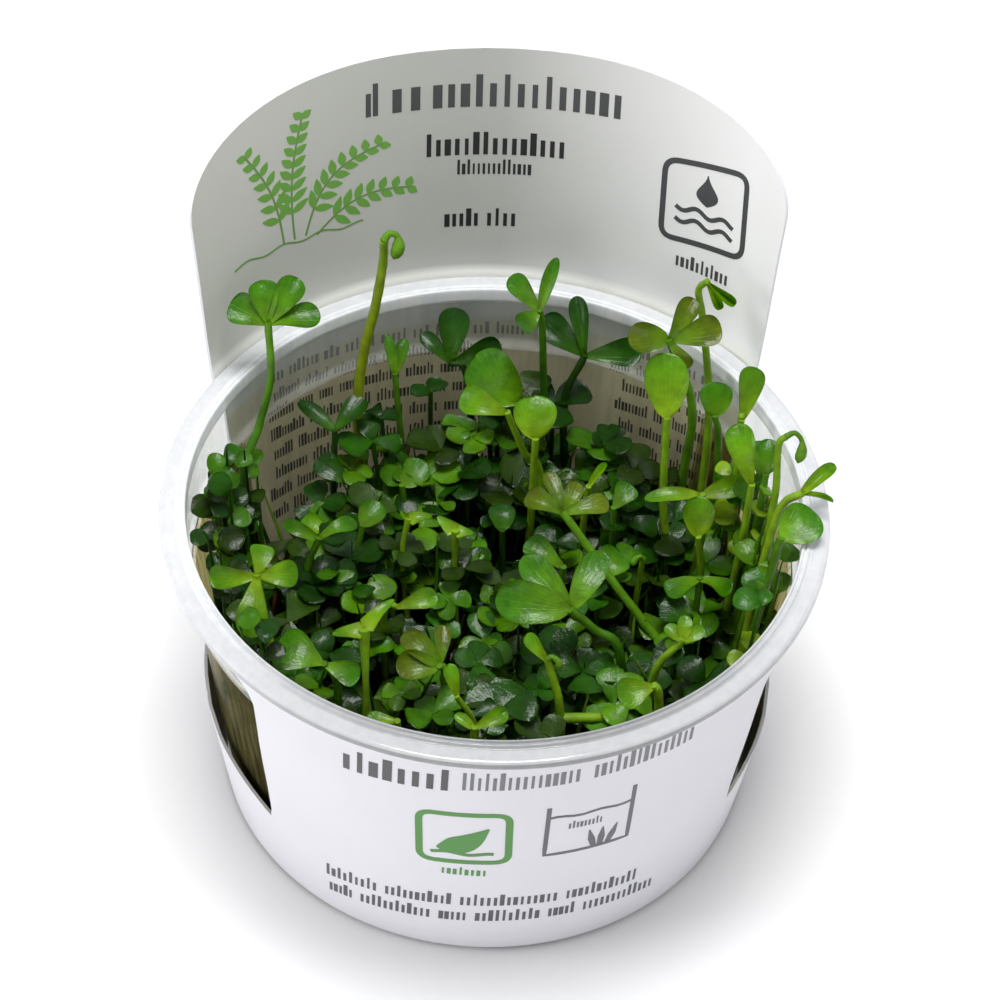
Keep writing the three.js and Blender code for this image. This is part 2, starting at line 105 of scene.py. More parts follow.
def add_node(finish, kind, wires=None, **settings):
    """A node of the given kind; each wire is a socket's name or number and a value or another output."""
    made = finish.node_tree.nodes.new("ShaderNode" + kind)
    for key, value in settings.items():
        setattr(made, key, value)
    for socket, value in (wires or {}).items():
        if isinstance(value, bpy.types.NodeSocket):
            finish.node_tree.links.new(value, made.inputs[socket])
        else:
            made.inputs[socket].default_value = value
    return made


def object_place(finish):
    return add_node(finish, "TexCoord").outputs["Object"]


def cloud(finish, scale, detail, place=None):
    """Soft noise from 0 to 1, at the place given or over the piece's own box."""
    wires = {"Scale": float(scale), "Detail": float(detail)}
    if place:
        wires["Vector"] = place
    return add_node(finish, "TexNoise", wires).outputs["Fac"]


def ramp(finish, source, low, high, start=0.0, end=1.0):
    """The source's run from low to high, stretched to go from start to end."""
    return add_node(finish, "MapRange", {0: source, 1: low, 2: high, 3: start, 4: end}).outputs[0]


def mixed(finish, share, first, second):
    """Two colours mixed by a share; each is a colour or another node's output."""
    first, second = (c if isinstance(c, bpy.types.NodeSocket) else (*c, 1) for c in (first, second))
    return add_node(finish, "MixRGB", {"Fac": share, "Color1": first, "Color2": second}).outputs[0]


def times(finish, first, second):
    return add_node(finish, "Math", {0: first, 1: second}, operation="MULTIPLY").outputs[0]


def scaled(finish, colour, share):
    return add_node(finish, "VectorMath", {0: colour, "Scale": share}, operation="SCALE").outputs[0]


def connect(finish, output, shader, socket="Base Color"):
    finish.node_tree.links.new(output, shader.inputs[socket])


def raise_bumps(finish, shader, strength, distance, height):
    """Relief on the finish, this many metres high where the strength is 1."""
    bump = add_node(finish, "Bump", {"Strength": strength, "Distance": distance, "Height": height})
    connect(finish, bump.outputs[0], shader, "Normal")


def new_piece(name, points, faces, finishes, sharp=40):
    """A mesh object from points in millimetres, smooth but for edges sharper than the angle."""
    mesh = bpy.data.meshes.new(name)
    mesh.from_pydata((np.asarray(points, float) * MM).tolist(), [], faces)
    mesh.validate()
    for finish in finishes:
        mesh.materials.append(finish)
    mesh.shade_smooth()
    mesh.set_sharp_from_angle(angle=math.radians(sharp))
    made = bpy.data.objects.new(name, mesh)
    bpy.context.collection.objects.link(made)
    return made


paper, paper_shader = new_finish("floor_paper", (0.93, 0.93, 0.935), 0.9)
connect(paper, ramp(paper, cloud(paper, 60, 4), 0.0, 1.0, 0.925, 0.945), paper_shader)
corners = [(x * FLOOR_REACH, y * FLOOR_REACH, -0.1) for x, y in ((-1, -1), (1, -1), (1, 1), (-1, 1))]
floor = new_piece("floor", corners, [(0, 1, 2, 3)], [paper])

# Cup: one thin clear plastic moulding, pressed from sheet: a flat foot, a tapered wall, a step out to
# a collar, and a flange with a bead round the mouth and a short lip turned down at its edge.
RIM_HEIGHT = 55.5
FLANGE_RADIUS = 50
FOOT_RADIUS = 40.9
COLLAR_RADIUS = 46.8
COLLAR_BOTTOM = 45
WALL = 0.8
CUP_FLOOR = 1
WALL_TOP_RADIUS = COLLAR_RADIUS - WALL - 1.1
CUP_STEPS = 160
BARE_FROM, BARE_TO = 46, 127
MIST_FOOT, MIST_TOP = 1.5, COLLAR_BOTTOM - 3


def rounded(before, corner, after, reach, steps):
    """Points of a corner between two others, rounded over the reach."""
    ends = []
    for other in (before, after):
        gap = np.linalg.norm(other - corner)
        ends.append(corner + (other - corner) / gap * min(reach, 0.45 * gap))
    shares = [k / steps for k in range(steps + 1)]
    return [(1 - t) ** 2 * ends[0] + 2 * t * (1 - t) * corner + t * t * ends[1] for t in shares]


def soften(corners, reach, steps=4):
    """A line with each of its corners rounded."""
    corners = [np.array(c, float) for c in corners]
    line = [corners[0]]
    for before, corner, after in zip(corners, corners[1:], corners[2:]):
        line += rounded(before, corner, after, reach, steps)
    return line + [corners[-1]]


def turned(profile, steps):
    """Points and faces of a profile of [radius, height] that starts and ends on the axis, turned round."""
    inner = profile[1:-1]
    points = [(0, 0, profile[0][1]), (0, 0, profile[-1][1])]
    for k in range(steps):
        a = 2 * math.pi * k / steps
        points += [(r * math.cos(a), r * math.sin(a), z) for r, z in inner]
    faces = []
    n = len(inner)
    for k in range(steps):
        here, there = 2 + k * n, 2 + (k + 1) % steps * n
        faces.append((0, there, here))
        faces.append((1, here + n - 1, there + n - 1))
        faces += [(here + i, there + i, there + i + 1, here + i + 1) for i in range(n - 1)]
    return points, faces


def wall_radius(z):
    """Inner radius of the cup's tapered wall."""
    foot = FOOT_RADIUS - WALL
    return foot + (WALL_TOP_RADIUS - foot) * (z - CUP_FLOOR) / (COLLAR_BOTTOM - CUP_FLOOR)


cup_profile = [
    (0, 0.4), (37.6, 0.4), (38.2, 0), (FOOT_RADIUS - 1, 0), (FOOT_RADIUS - 0.2, 0.7),
    (WALL_TOP_RADIUS + WALL, COLLAR_BOTTOM - 1), (COLLAR_RADIUS, COLLAR_BOTTOM),
    (COLLAR_RADIUS + 0.3, RIM_HEIGHT - 0.9), (FLANGE_RADIUS - WALL, RIM_HEIGHT - 0.9),
    (FLANGE_RADIUS - WALL, RIM_HEIGHT - 1.5), (FLANGE_RADIUS, RIM_HEIGHT - 1.5),
    (FLANGE_RADIUS, RIM_HEIGHT - 0.3), (FLANGE_RADIUS - 0.5, RIM_HEIGHT),
    (COLLAR_RADIUS + 0.6, RIM_HEIGHT), (COLLAR_RADIUS + 0.35, RIM_HEIGHT + 0.35),
    (COLLAR_RADIUS + 0.05, RIM_HEIGHT + 0.4), (COLLAR_RADIUS - 0.1, RIM_HEIGHT + 0.1),
    (COLLAR_RADIUS - 0.3, RIM_HEIGHT + 0.1), (COLLAR_RADIUS - 0.45, RIM_HEIGHT + 0.5),
    (COLLAR_RADIUS - 0.8, RIM_HEIGHT + 0.4), (COLLAR_RADIUS - 1, RIM_HEIGHT - 1.7),
    (COLLAR_RADIUS - 0.8, RIM_HEIGHT - 2),
    (COLLAR_RADIUS - WALL - 0.1, COLLAR_BOTTOM + 0.5), (WALL_TOP_RADIUS, COLLAR_BOTTOM - 0.6),
    (FOOT_RADIUS - WALL, CUP_FLOOR + 1), (FOOT_RADIUS - WALL - 1, CUP_FLOOR), (0, CUP_FLOOR),
]


def cup_plastic(name, light, dull, roughness, clear, bend, front=1.0, **sockets):
    """A finish of the cup's plastic streaked up and down by the mould; painted shade darkens its front by a
    share.
    """
    plastic, shader = new_finish(name, light, roughness, Transmission_Weight=clear, IOR=bend, **sockets)
    place = object_place(plastic)
    drawn = add_node(plastic, "Mapping", {"Vector": place, "Scale": (800, 800, 28)})
    streaks = ramp(plastic, cloud(plastic, 1, 2, drawn.outputs[0]), 0.36, 0.64)
    # Painted shade: the colour is darkened towards the front of the cup, by the share given as front.
    depth = add_node(plastic, "SeparateXYZ", {0: place}).outputs["Y"]
    shade = ramp(plastic, depth, -0.047, -0.012, front)
    connect(plastic, scaled(plastic, mixed(plastic, streaks, light, dull), shade), shader)
    return plastic


# The wall is clear, the collar faintly milky and the bead and flange more so. Damp and growth tint the
# wall where the card leaves it bare. The bead and flange carry painted shade that greys them towards the
# front.
cup_finishes = [
    cup_plastic("thin_wall_plastic", (0.98, 0.985, 0.97), (0.88, 0.89, 0.85), 0.03, 1, 1.01),
    cup_plastic("collar_plastic", (0.97, 0.98, 0.975), (0.86, 0.88, 0.86), 0.05, 0.84, 1.2),
    cup_plastic("bead_plastic", (0.97, 0.975, 0.985), (0.88, 0.905, 0.94), 0.06, 0.2, 1.3, 0.45),
    cup_plastic("milky_rim_plastic", (0.93, 0.94, 0.96), (0.86, 0.875, 0.905), 0.16, 0.36, 1.3, 0.88,
                Coat_Weight=0.5, Coat_Roughness=0.08),
    cup_plastic("misted_wall_plastic", (0.5, 0.47, 0.2), (0.2, 0.165, 0.065), 0.12, 0.86, 1.01),
]
COLLAR, BEAD, RIM, MISTED = 1, 2, 3, 4
cup = new_piece("clear_cup", *turned(soften(cup_profile, 0.45), CUP_STEPS), cup_finishes, sharp=60)
for face in cup.data.polygons:
    height, radius = face.center.z / MM, math.hypot(*face.center.xy) / MM
    turn = math.degrees(math.atan2(face.center.x, -face.center.y))
    if height > RIM_HEIGHT - 2.1 and radius > COLLAR_RADIUS - 1.3:
        on_flange = radius > COLLAR_RADIUS + 0.9 and height > RIM_HEIGHT - 0.35
        face.material_index = RIM if on_flange else BEAD
    elif MIST_FOOT < height < MIST_TOP and BARE_FROM < abs(turn) < BARE_TO:
        face.material_index = MISTED
    elif height > COLLAR_BOTTOM - 2.5:
        face.material_index = COLLAR
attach(cup, "root")
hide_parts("cup")

# Card sleeve: one sheet of white coated card, die-cut, rolled to a cone round the cup and glued down
# the middle of the back. It is tucked under the flange in front and stands up behind as a tall panel.
CARD = 0.5
CARD_FOOT = 0.6
CARD_FRONT = (41.25, 49.2)
CARD_BACK = (42, 50.35)
PANEL_TOP = 96.1
BAND_TOP = 19
FRONT_TOP = 53.6
PANEL_TURN = 3
FRONT_TURN = 1.7
DEGREE_WIDTH = 0.8


def card_radius(turn, z):
    """Inner radius of the card at degrees round from the front, where one cone eases to the other."""
    ease = min(max((abs(turn) - 88) / 30, 0), 1)
    ease *= ease * (3 - 2 * ease)
    front = CARD_FRONT[0] + (CARD_FRONT[1] - CARD_FRONT[0]) * z / RIM_HEIGHT
    back = CARD_BACK[0] + (CARD_BACK[1] - CARD_BACK[0]) * z / RIM_HEIGHT
    return front + (back - front) * ease


def on_card(turn, z, out=0.0):
    """The place on the card at degrees round from the front, this far out from its inner face."""
    turn = (turn + 180) % 360 - 180
    r = card_radius(turn, z) + out
    return r * math.sin(math.radians(turn)), -r * math.cos(math.radians(turn)), z


def bezier(a, b, c, d, steps):
    """Points along a cubic curve, without its first."""
    a, b, c, d = (np.array(p, float) for p in (a, b, c, d))
    for k in range(1, steps + 1):
        t = k / steps
        yield (1 - t) ** 3 * a + 3 * t * (1 - t) ** 2 * b + 3 * t * t * (1 - t) * c + t ** 3 * d


def card_edge(side):
    """The cut edge of one half of the card, as (degrees round from the front, height).

    It runs from the middle of the panel's top down the panel, the web and the band, and up the front's
    edge. The panel's cut is drawn as seen square on from behind, the others as seen from the side."""
    def behind(x, z):
        return side * (180 - math.degrees(math.asin(x / card_radius(180, z)))) - PANEL_TURN, z

    def beside(y, z):
        return side * (180 - math.degrees(math.acos(y / card_radius(180, z)))) - PANEL_TURN, z

    def in_front(y, z):
        return side * math.degrees(math.acos(-y / card_radius(0, z))) - FRONT_TURN, z

    edge = [behind(x, PANEL_TOP) for x in (0, 5, 10, 14)]
    edge += [behind(*p) for p in bezier((14, PANEL_TOP), (34, PANEL_TOP), (45, 93.5), (44.5, 83), 20)]
    edge += [behind(*p) for p in ((43.9, 76), (43.35, 69), (42.8, 62), (42.2, RIM_HEIGHT), (40.8, 45))]
    edge += [beside(25.6, 34)]
    edge += [beside(*p) for p in bezier((25.6, 34), (24.5, 24), (19, BAND_TOP), (6, BAND_TOP), 16)]
    edge += [beside(y, BAND_TOP) for y in (2, -2)]
    edge += [in_front(y, BAND_TOP) for y in (-7, -13)]
    edge += [in_front(*p) for p in bezier((-13, BAND_TOP), (-19, 18.9), (-23.6, 18), (-26.8, 16.4), 8)]
    edge += [in_front(*p) for p in (
        (-27.5, 19), (-28, 22.5), (-28.5, 26), (-29.2, 32), (-30, 38), (-30.8, 43), (-31.6, 48.5),
        (-31.3, 51), (-30, 52.7), (-28.8, 53.4), (-26, FRONT_TOP))]
    return edge


def inside(point, outline):
    """Whether a flat point lies inside a closed outline."""
    x, y = point
    within = False
    for (ax, ay), (bx, by) in zip(outline, outline[1:] + outline[:1]):
        if (ay > y) != (by > y) and x < ax + (y - ay) / (by - ay) * (bx - ax):
            within = not within
    return within


def card_sheet():
    """Points and faces of the card, cut flat, rolled up and joined down the middle of the panel."""
    seam = [CARD_FOOT + (PANEL_TOP - CARD_FOOT) * k / 30 for k in range(1, 30)]
    right, left = card_edge(1), card_edge(-1)
    left = [(a if a < 0 else a - 360, z) for a, z in left]
    start, end = -180 - PANEL_TURN, 180 - PANEL_TURN
    foot = [(start, CARD_FOOT), *[(a, CARD_FOOT) for a in range(-180, 176, 2)], (end, CARD_FOOT)]
    last = right[-1][0]
    top = [(last - 2 * k, FRONT_TOP) for k in range(1, 200) if last - 2 * k > left[-1][0] + 1]
    outline = foot + [(end, z) for z in seam] + right + top + left[::-1]
    outline += [(start, z) for z in reversed(seam)]
    flat = [(a * DEGREE_WIDTH, z) for a, z in outline]
    edges = [(k, (k + 1) % len(flat)) for k in range(len(flat))]
    rim = np.array(flat)
    for a in np.arange(-181, 176, 2.2):
        for z in np.arange(3, PANEL_TOP, 2.6):
            point = (a * DEGREE_WIDTH, z)
            if np.min(np.hypot(*(rim - point).T)) > 1.1 and inside(point, flat):
                flat.append(point)
    placed, _, triangles, *_ = delaunay_2d_cdt([Vector(p) for p in flat], edges, [], 1, 1e-4)
    points = [on_card(x / DEGREE_WIDTH, z, out) for out in (0.0, CARD) for x, z in placed]
    n = len(placed)
    used = {}
    for t in triangles:
        for a, b in zip(t, t[1:] + t[:1]):
            used[a, b] = used.get((a, b), 0) + 1
    faces = [tuple(t) for t in triangles]
    faces += [tuple(n + k for k in reversed(t)) for t in triangles]
    ends = start * DEGREE_WIDTH, end * DEGREE_WIDTH
    for a, b in used:
        at_seam = any(abs(placed[a][0] - e) + abs(placed[b][0] - e) < 1e-3 for e in ends)
        if (b, a) not in used and not at_seam:
            faces.append((b, a, n + a, n + b))
    return points, faces, n


points, faces, inner_count = card_sheet()
card_stock, card_shader = new_finish("white_card", seen(238, 237, 243), 0.42, Specular_IOR_Level=0.35)
place = object_place(card_stock)
spot = add_node(card_stock, "SeparateXYZ", {0: place}).outputs
white = mixed(card_stock, cloud(card_stock, 60, 2, place), seen(233, 232, 238), seen(226, 225, 232))
# Painted light and shade on the card's inner side: a warm beige painted shade up to about 47 mm high, from
# there to the rim a band painted lighter than the card to make up for the shade behind the collar, and above
# the rim a panel face darkened by painted shade, most near its middle, less at the left and hardly at all at
# the right.
side = add_node(card_stock, "Attribute", attribute_name="lining")
lining = ramp(card_stock, side.outputs["Fac"], 0.9, 1.0)
painted_warm_shade_share = times(card_stock, lining, ramp(card_stock, spot["Z"], 0.0475, 0.0465))
leftward, rightward = ramp(card_stock, spot["X"], 0.0, -0.04), ramp(card_stock, spot["X"], 0.006, 0.042)
panel_left_painted_shading = mixed(card_stock, leftward, seen(190, 191, 186), seen(210, 211, 204))
panel_painted_shading = mixed(card_stock, rightward, panel_left_painted_shading, seen(250, 250, 250))
above = ramp(card_stock, spot["Z"], 0.056, 0.0575)
lining_painted_shading = mixed(card_stock, lining, white, mixed(card_stock, above, seen(246, 247, 240), panel_painted_shading))
connect(card_stock, mixed(card_stock, painted_warm_shade_share, lining_painted_shading, seen(238, 228, 190)), card_shader)
raise_bumps(card_stock, card_shader, 0.12, 0.0002, cloud(card_stock, 2400, 3, place))
card = new_piece("printed_card_sleeve", points, faces, [card_stock])
inner_side = card.data.attributes.new("lining", "FLOAT", "POINT")
inner_side.data.foreach_set("value", [float(k < inner_count) for k in range(len(card.data.vertices))])
weld = card.modifiers.new("glued seam", "WELD")
weld.merge_threshold = 0.00002
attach(card, "root")
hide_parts("card_sleeve")

# Print: films of ink on the card. Plain bars stand for words, with a tank and a leaf in a frame on the
# front, and on the panel a drop over waves in a frame and a spray of leafy stems.
INK = 0.05


def frame_path(corners, radius, steps=6):
    """A closed path through four corners, each rounded."""
    corners = [np.array(c, float) for c in corners]
    arcs = [rounded(corners[k - 1], corner, corners[(k + 1) % 4], radius, steps)
            for k, corner in enumerate(corners)]
    path = []
    for arc, following in zip(arcs, arcs[1:] + arcs[:1]):
        path += arc + [arc[-1] + (following[0] - arc[-1]) * i / 8 for i in range(1, 8)]
    return path


def ink_film(name, strokes, to_card, colour):
    """A film of ink from strokes of (path, widths, closed), laid on the card by to_card."""
    points, faces = [], []
    for path, widths, closed in strokes:
        path = [np.array(p, float) for p in path]
        n, first = len(path), len(points)
        for k, here in enumerate(path):
            before = path[k - 1] if closed or k else here
            after = path[(k + 1) % n] if closed or k < n - 1 else here
            along = (after - before) / max(np.linalg.norm(after - before), 1e-6)
            width = widths[k] if isinstance(widths, list) else widths
            across = np.array((-along[1], along[0])) * width / 2
            for out in (-0.4 * INK, INK):
                points.append(to_card(*(here - across), out))
                points.append(to_card(*(here + across), out))
        rungs = [(first + 4 * k, first + 4 * ((k + 1) % n)) for k in range(n if closed else n - 1)]
        for a, b in rungs:
            faces += [(b, b + 1, a + 1, a), (b + 1, b + 3, a + 3, a + 1)]
            faces += [(b + 3, b + 2, a + 2, a + 3), (b + 2, b, a, a + 2)]
        if not closed:
            end = first + 4 * (n - 1)
            faces += [(first + 1, first + 3, first + 2, first), (end, end + 2, end + 3, end + 1)]
    ink, shader = new_finish(name + "_ink", colour, 0.38)
    light, dark = (tuple(c * k for c in colour) for k in (1.12, 0.9))
    connect(ink, mixed(ink, cloud(ink, 1800, 2), light, dark), shader)
    film = new_piece(name, points, faces, [ink])
    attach(film, "root")
    return film


marks = random.Random(12)


def words(lengths, x, y, tall, gap=1.5, weight=0.2):
    """A line of plain words from x on, standing on y: each a row of short posts of two heights."""
    line = []
    for long in lengths:
        post = weight * 0.75 * tall
        count = max(1, round((long - post) / (post * 2.0)))
        for k in range(count + 1):
            left = x + (long - post) * k / count
            high = tall * (1 if marks.random() < 0.3 else 0.72)
            wide = post * marks.choice((0.8, 1, 1, 1.4))
            line.append(([(left + post / 2, y), (left + post / 2, y + high)], wide, False))
        x += long + gap
    return line


def on_front(x, y, out):
    """A place on the outside of the card's front, x along it from the middle and y its height."""
    turn = math.degrees(x / (card_radius(0, y) + CARD))
    return on_card(turn, y, CARD + out)


def on_panel(x, y, out):
    """A place on the panel's face, seen from in front: x to the right of its middle, y its height."""
    turn = x / card_radius(180, y)
    return on_card(180 - PANEL_TURN - math.degrees(turn), y + 3.5 * turn * turn, -out)


def along_heading(x, y, out):
    return on_front(x, y + 0.065 * x, out)


def along_foot_line(x, y, out):
    return on_front(x, y - 0.0035 * x * x, out)


heading = words([15.5], -27, 47.6, 5.6, weight=0.24)
ink_film("print_front_heading_bold", heading, along_heading, seen(70, 70, 74))
heading = words([16.5, 15.5], -9.5, 48.1, 4.6, 2.2, 0.15)
ink_film("print_front_heading", heading, along_heading, seen(112, 112, 118))
foot_lines = words([8.5, 10, 14.5, 11.5], -30, 14.0, 3.3) + words([4, 11, 4, 9.5, 4, 12], -29.5, 9.2, 3.3)
ink_film("print_front_lines", foot_lines, along_foot_line, seen(78, 78, 84))

GREEN = seen(72, 138, 52)
badge = frame_path([(-15.5, 40.2), (-2.4, 40.8), (-2.0, 27.2), (-15, 26.6)], 2.2)
leaf_length = np.linspace(0, 1, 16)
badge_leaf = ([(-12.6 + 7.4 * t, 30.6 + 6.2 * t - 1.6 * math.sin(math.pi * t)) for t in leaf_length],
              [0.3 + 4.4 * math.sin(math.pi * t ** 0.85) for t in leaf_length], False)
ground = ([(x, 29.3 + 0.3 * math.sin(x)) for x in np.linspace(-13.4, -4.2, 14)], 0.8, False)
badge_strokes = [(badge, 1.1, True), badge_leaf, ground] + words([6.5], -11.6, 23.0, 2.2, weight=0.25)
ink_film("print_front_badge", badge_strokes, on_front, GREEN)

tank = [(3.2, 42), (3.2, 28.4), (16, 28.4), (16, 43.2)]
tank = [np.array(corner) for corner in tank]
tank_path = [a + (b - a) * k / 8 for a, b in zip(tank, tank[1:]) for k in range(8)] + tank[-1:]
water = [(3.2 + 12.8 * k / 10, 39 + 0.25 * math.sin(k * 1.3)) for k in range(11)]
blades = [([(x, 28.8), (x + lean / 2, 31), (x + lean, 33.6)], [0.9, 1.1, 0.2], False)
          for x, lean in ((10.6, -0.9), (11.6, 0.2), (12.8, 1.2))]
tank_strokes = [(tank_path, 0.7, False), (water, 0.55, False)] + blades + words([5], 6.4, 35.3, 2.0)
ink_film("print_front_tank", tank_strokes, on_front, seen(92, 92, 98))

title = words([2.2, 4, 29], -18.6, 86.0, 5.6, 2.4, 0.25)
ink_film("print_panel_title", title, on_panel, seen(74, 74, 76))
name_lines = words([21.5], -8.7, 77.5, 4.0, weight=0.24) + words([11.5], -3.8, 74.0, 2.6)\
    + words([5.2, 4.4], -5.6, 64.5, 3.2, weight=0.25)
ink_film("print_panel_name", name_lines, on_panel, seen(38, 38, 40))
plate = frame_path([(29.2, 81.2), (43.6, 83.3), (44, 69.0), (29.2, 67.6)], 2.2)
drop_t = np.linspace(0, 1, 15)
drop = ([(36.6 + 0.2 * t, 80.6 - 5.4 * t) for t in drop_t],
        [0.2 + 3.7 * math.sin(math.pi * t ** 1.7) for t in drop_t], False)
waves = [([(x, y + 0.5 * math.sin(1.3 * x)) for x in np.linspace(31.4, 41.8, 22)], 0.75, False)
         for y in (73.7, 71.6)]
plate_strokes = [(plate, 0.95, True), drop] + waves + words([9.5], 32.2, 63.2, 2.4, weight=0.25)
ink_film("print_panel_plate", plate_strokes, on_panel, seen(72, 72, 75))


def printed_spray():
    """Strokes of three arching stems with paired narrow leaves, standing on a low line of ground."""
    stems, leaves = [], []
    leaf_steps = np.linspace(0, 1, 8)
    leaf_widths = [0.15 + 1.25 * math.sin(math.pi * u ** 0.9) for u in leaf_steps]
    for foot, head, lean, pairs in (((-33, 68), (-40, 86), 1.5, 7), ((-31, 68), (-29, 89.5), -1.2, 9),
                                    ((-29, 68), (-15.5, 81), -3.2, 8), ((-27, 67.5), (-11, 72.5), -2.2, 7)):
        foot, head = np.array(foot, float), np.array(head, float)
        along = (head - foot) / np.linalg.norm(head - foot)
        side = np.array((-along[1], along[0]))

        def on_stem(t):
            return foot + (head - foot) * t - side * lean * math.sin(math.pi * t)

        stems.append(([on_stem(t) for t in np.linspace(0, 1, 16)], 0.35, False))
        for k in range(pairs):
            t = 0.22 + 0.74 * k / (pairs - 1)
            root, long = on_stem(t), 3.6 * (1.15 - 0.6 * t)
            for way in (-1, 1):
                tip = root + (along * 0.75 + side * way) * long * 0.75
                leaves.append(([root + (tip - root) * u for u in leaf_steps], leaf_widths, False))
    ground = [([(x, 67.6 + 0.35 * math.sin(0.9 * x)) for x in np.linspace(-43, -19, 30)], 0.3, False)]
    return stems + ground, leaves


stems, leaves = printed_spray()
ink_film("print_panel_stems", stems, on_panel, seen(112, 150, 84))
ink_film("print_panel_leaves", leaves, on_panel, seen(112, 168, 74))

shuffle = random.Random(7)
notes = []
for row in range(8):
    x = -38 + shuffle.uniform(0, 1.5)
    while x < 40:
        long = shuffle.uniform(2.2, 7.5)
        if not 5 < x < 22:
            notes += words([long], x, 44.2 - 3.8 * row, 2.3, weight=0.18 if row else 0.26)
        x += long + 1.3
ink_film("print_lining_notes", notes, on_panel, seen(84, 78, 68))

# Gel: clear nutrient jelly poured warm into the cup, with a skin that climbs a little at the wall. The
# plants' pale brown roots, made with the undergrowth, run down through it.
GAP = 0.3
GEL_TOP = 9
gel_profile = [
    (0, CUP_FLOOR + GAP), (wall_radius(1.3) - 1.2, CUP_FLOOR + GAP), (wall_radius(2.3) - GAP, 2.3),
    (wall_radius(GEL_TOP) - GAP, GEL_TOP), (wall_radius(GEL_TOP) - 1.6, GEL_TOP - 0.5),
    (28, GEL_TOP - 0.7), (12, GEL_TOP - 0.6), (0, GEL_TOP - 0.7),
]
jelly, jelly_shader = new_finish(
    "nutrient_jelly", seen(214, 206, 168), 0.12, Transmission_Weight=0.9, IOR=1.34)
connect(jelly, mixed(jelly, cloud(jelly, 90, 3), seen(222, 214, 180), seen(190, 178, 132)), jelly_shader)
gel = new_piece("clear_gel", *turned(soften(gel_profile, 0.8), 96), [jelly])
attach(gel, "root")
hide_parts("nutrient_gel")

# Stalks and leaflets: every frond is grown from these two forms, a soft round stalk that thins towards
# its top and a thin leaflet with veins that fan out from its foot, wet and glossy from the jar.
UP = np.array((0.0, 0.0, 1.0))
LEAF = 0.32


class Growth:
    """Points and faces of one plant piece, gathered form by form, with each point's tint and vein place."""

    def __init__(self):
        self.points, self.faces, self.tints, self.fans, self.kinds = [], [], [], [], []
        self.count = 0

    def add(self, points, faces, tint, fans, kind):
        self.faces += [tuple(self.count + k for k in f) for f in faces]
        self.kinds += [kind] * len(faces)
        self.points.append(points)
        self.tints.append(tint)
        self.fans.append(fans)
        self.count += len(points)

    def make(self, name):
        piece = new_piece(name, np.vstack(self.points), self.faces, [leaf_skin, stalk_skin], sharp=75)
        mesh = piece.data
        tint = mesh.attributes.new("tint", "FLOAT_COLOR", "POINT")
        tint.data.foreach_set("color", np.vstack(self.tints).ravel())
        fan = mesh.attributes.new("fan", "FLOAT_VECTOR", "POINT")
        fan.data.foreach_set("vector", np.vstack(self.fans).ravel())
        mesh.polygons.foreach_set("material_index", self.kinds)
        mesh.update()
        return piece


def unit(v):
    return v / max(np.linalg.norm(v), 1e-9)


def smooth_route(route, steps):
    """Points along a smooth curve through a route's points, this many to a stretch."""
    ends = [2 * route[0] - route[1], *route, 2 * route[-1] - route[-2]]
    line = []
    for a, b, c, d in zip(ends, ends[1:], ends[2:], ends[3:]):
        for k in range(steps):
            t = k / steps
            line.append(0.5 * (2 * b + (c - a) * t + (2 * a - 5 * b + 4 * c - d) * t * t
                               + (3 * b - 3 * c + d - a) * t ** 3))
    return np.array(line + [route[-1]])


def grow_stalk(growth, route, radii, tint, steps=7, sides=10, knobs=0.06):
    """A round stalk along the route; radii are at its foot and its top, or one for each point."""
    line = smooth_route([np.array(p, float) for p in route], steps)
    n = len(line)
    if len(radii) == 2:
        radii = np.linspace(*radii, n)
    else:
        radii = np.interp(np.linspace(0, 1, n), np.linspace(0, 1, len(radii)), radii)
    side = unit(np.cross(line[1] - line[0], (0.3, 1, 0.1)))
    rings, fans = [], []
    for k in range(n):
        along = unit(line[min(k + 1, n - 1)] - line[max(k - 1, 0)])
        side = unit(side - along * np.dot(side, along))
        other = np.cross(along, side)
        for i in range(sides):
            a = 2 * math.pi * i / sides
            spot = Vector((line[k][0] * 0.9 + 3 * i, line[k][1] * 0.9, line[k][2] * 0.9))
            r = radii[k] * (1 + knobs * 2 * noise(spot))
            rings.append(line[k] + (side * math.cos(a) + other * math.sin(a)) * r)
            fans.append((i / sides, k / n, 0))
    points = np.array(rings + [line[0], line[-1]])
    fans += [(0, 0, 0), (0, 1, 0)]
    faces = []
    for k in range(n - 1):
        for i in range(sides):
            j = (i + 1) % sides
            faces.append((k * sides + i, k * sides + j, (k + 1) * sides + j, (k + 1) * sides + i))
    last = (n - 1) * sides
    faces += [(n * sides, (i + 1) % sides, i) for i in range(sides)]
    faces += [(n * sides + 1, last + i, last + (i + 1) % sides) for i in range(sides)]
    lower, upper = (np.array(t, float) for t in (tint if np.ndim(tint) == 2 else (tint, tint)))
    share = np.append(np.repeat(np.linspace(0, 1, n), sides), (0, 1))[:, None]
    tints = np.hstack([lower * (1 - share) + upper * share, np.ones((len(points), 1))])
    growth.add(points, faces, tints, np.array(fans, float), 1)


# How a leaflet's outline swells: the first number draws its foot in, the second squares its tip.
OUTLINES = {"wedge": (0.95, 4.5), "round": (0.62, 2.4), "blade": (0.75, 1.7), "horn": (0.16, 0.5)}


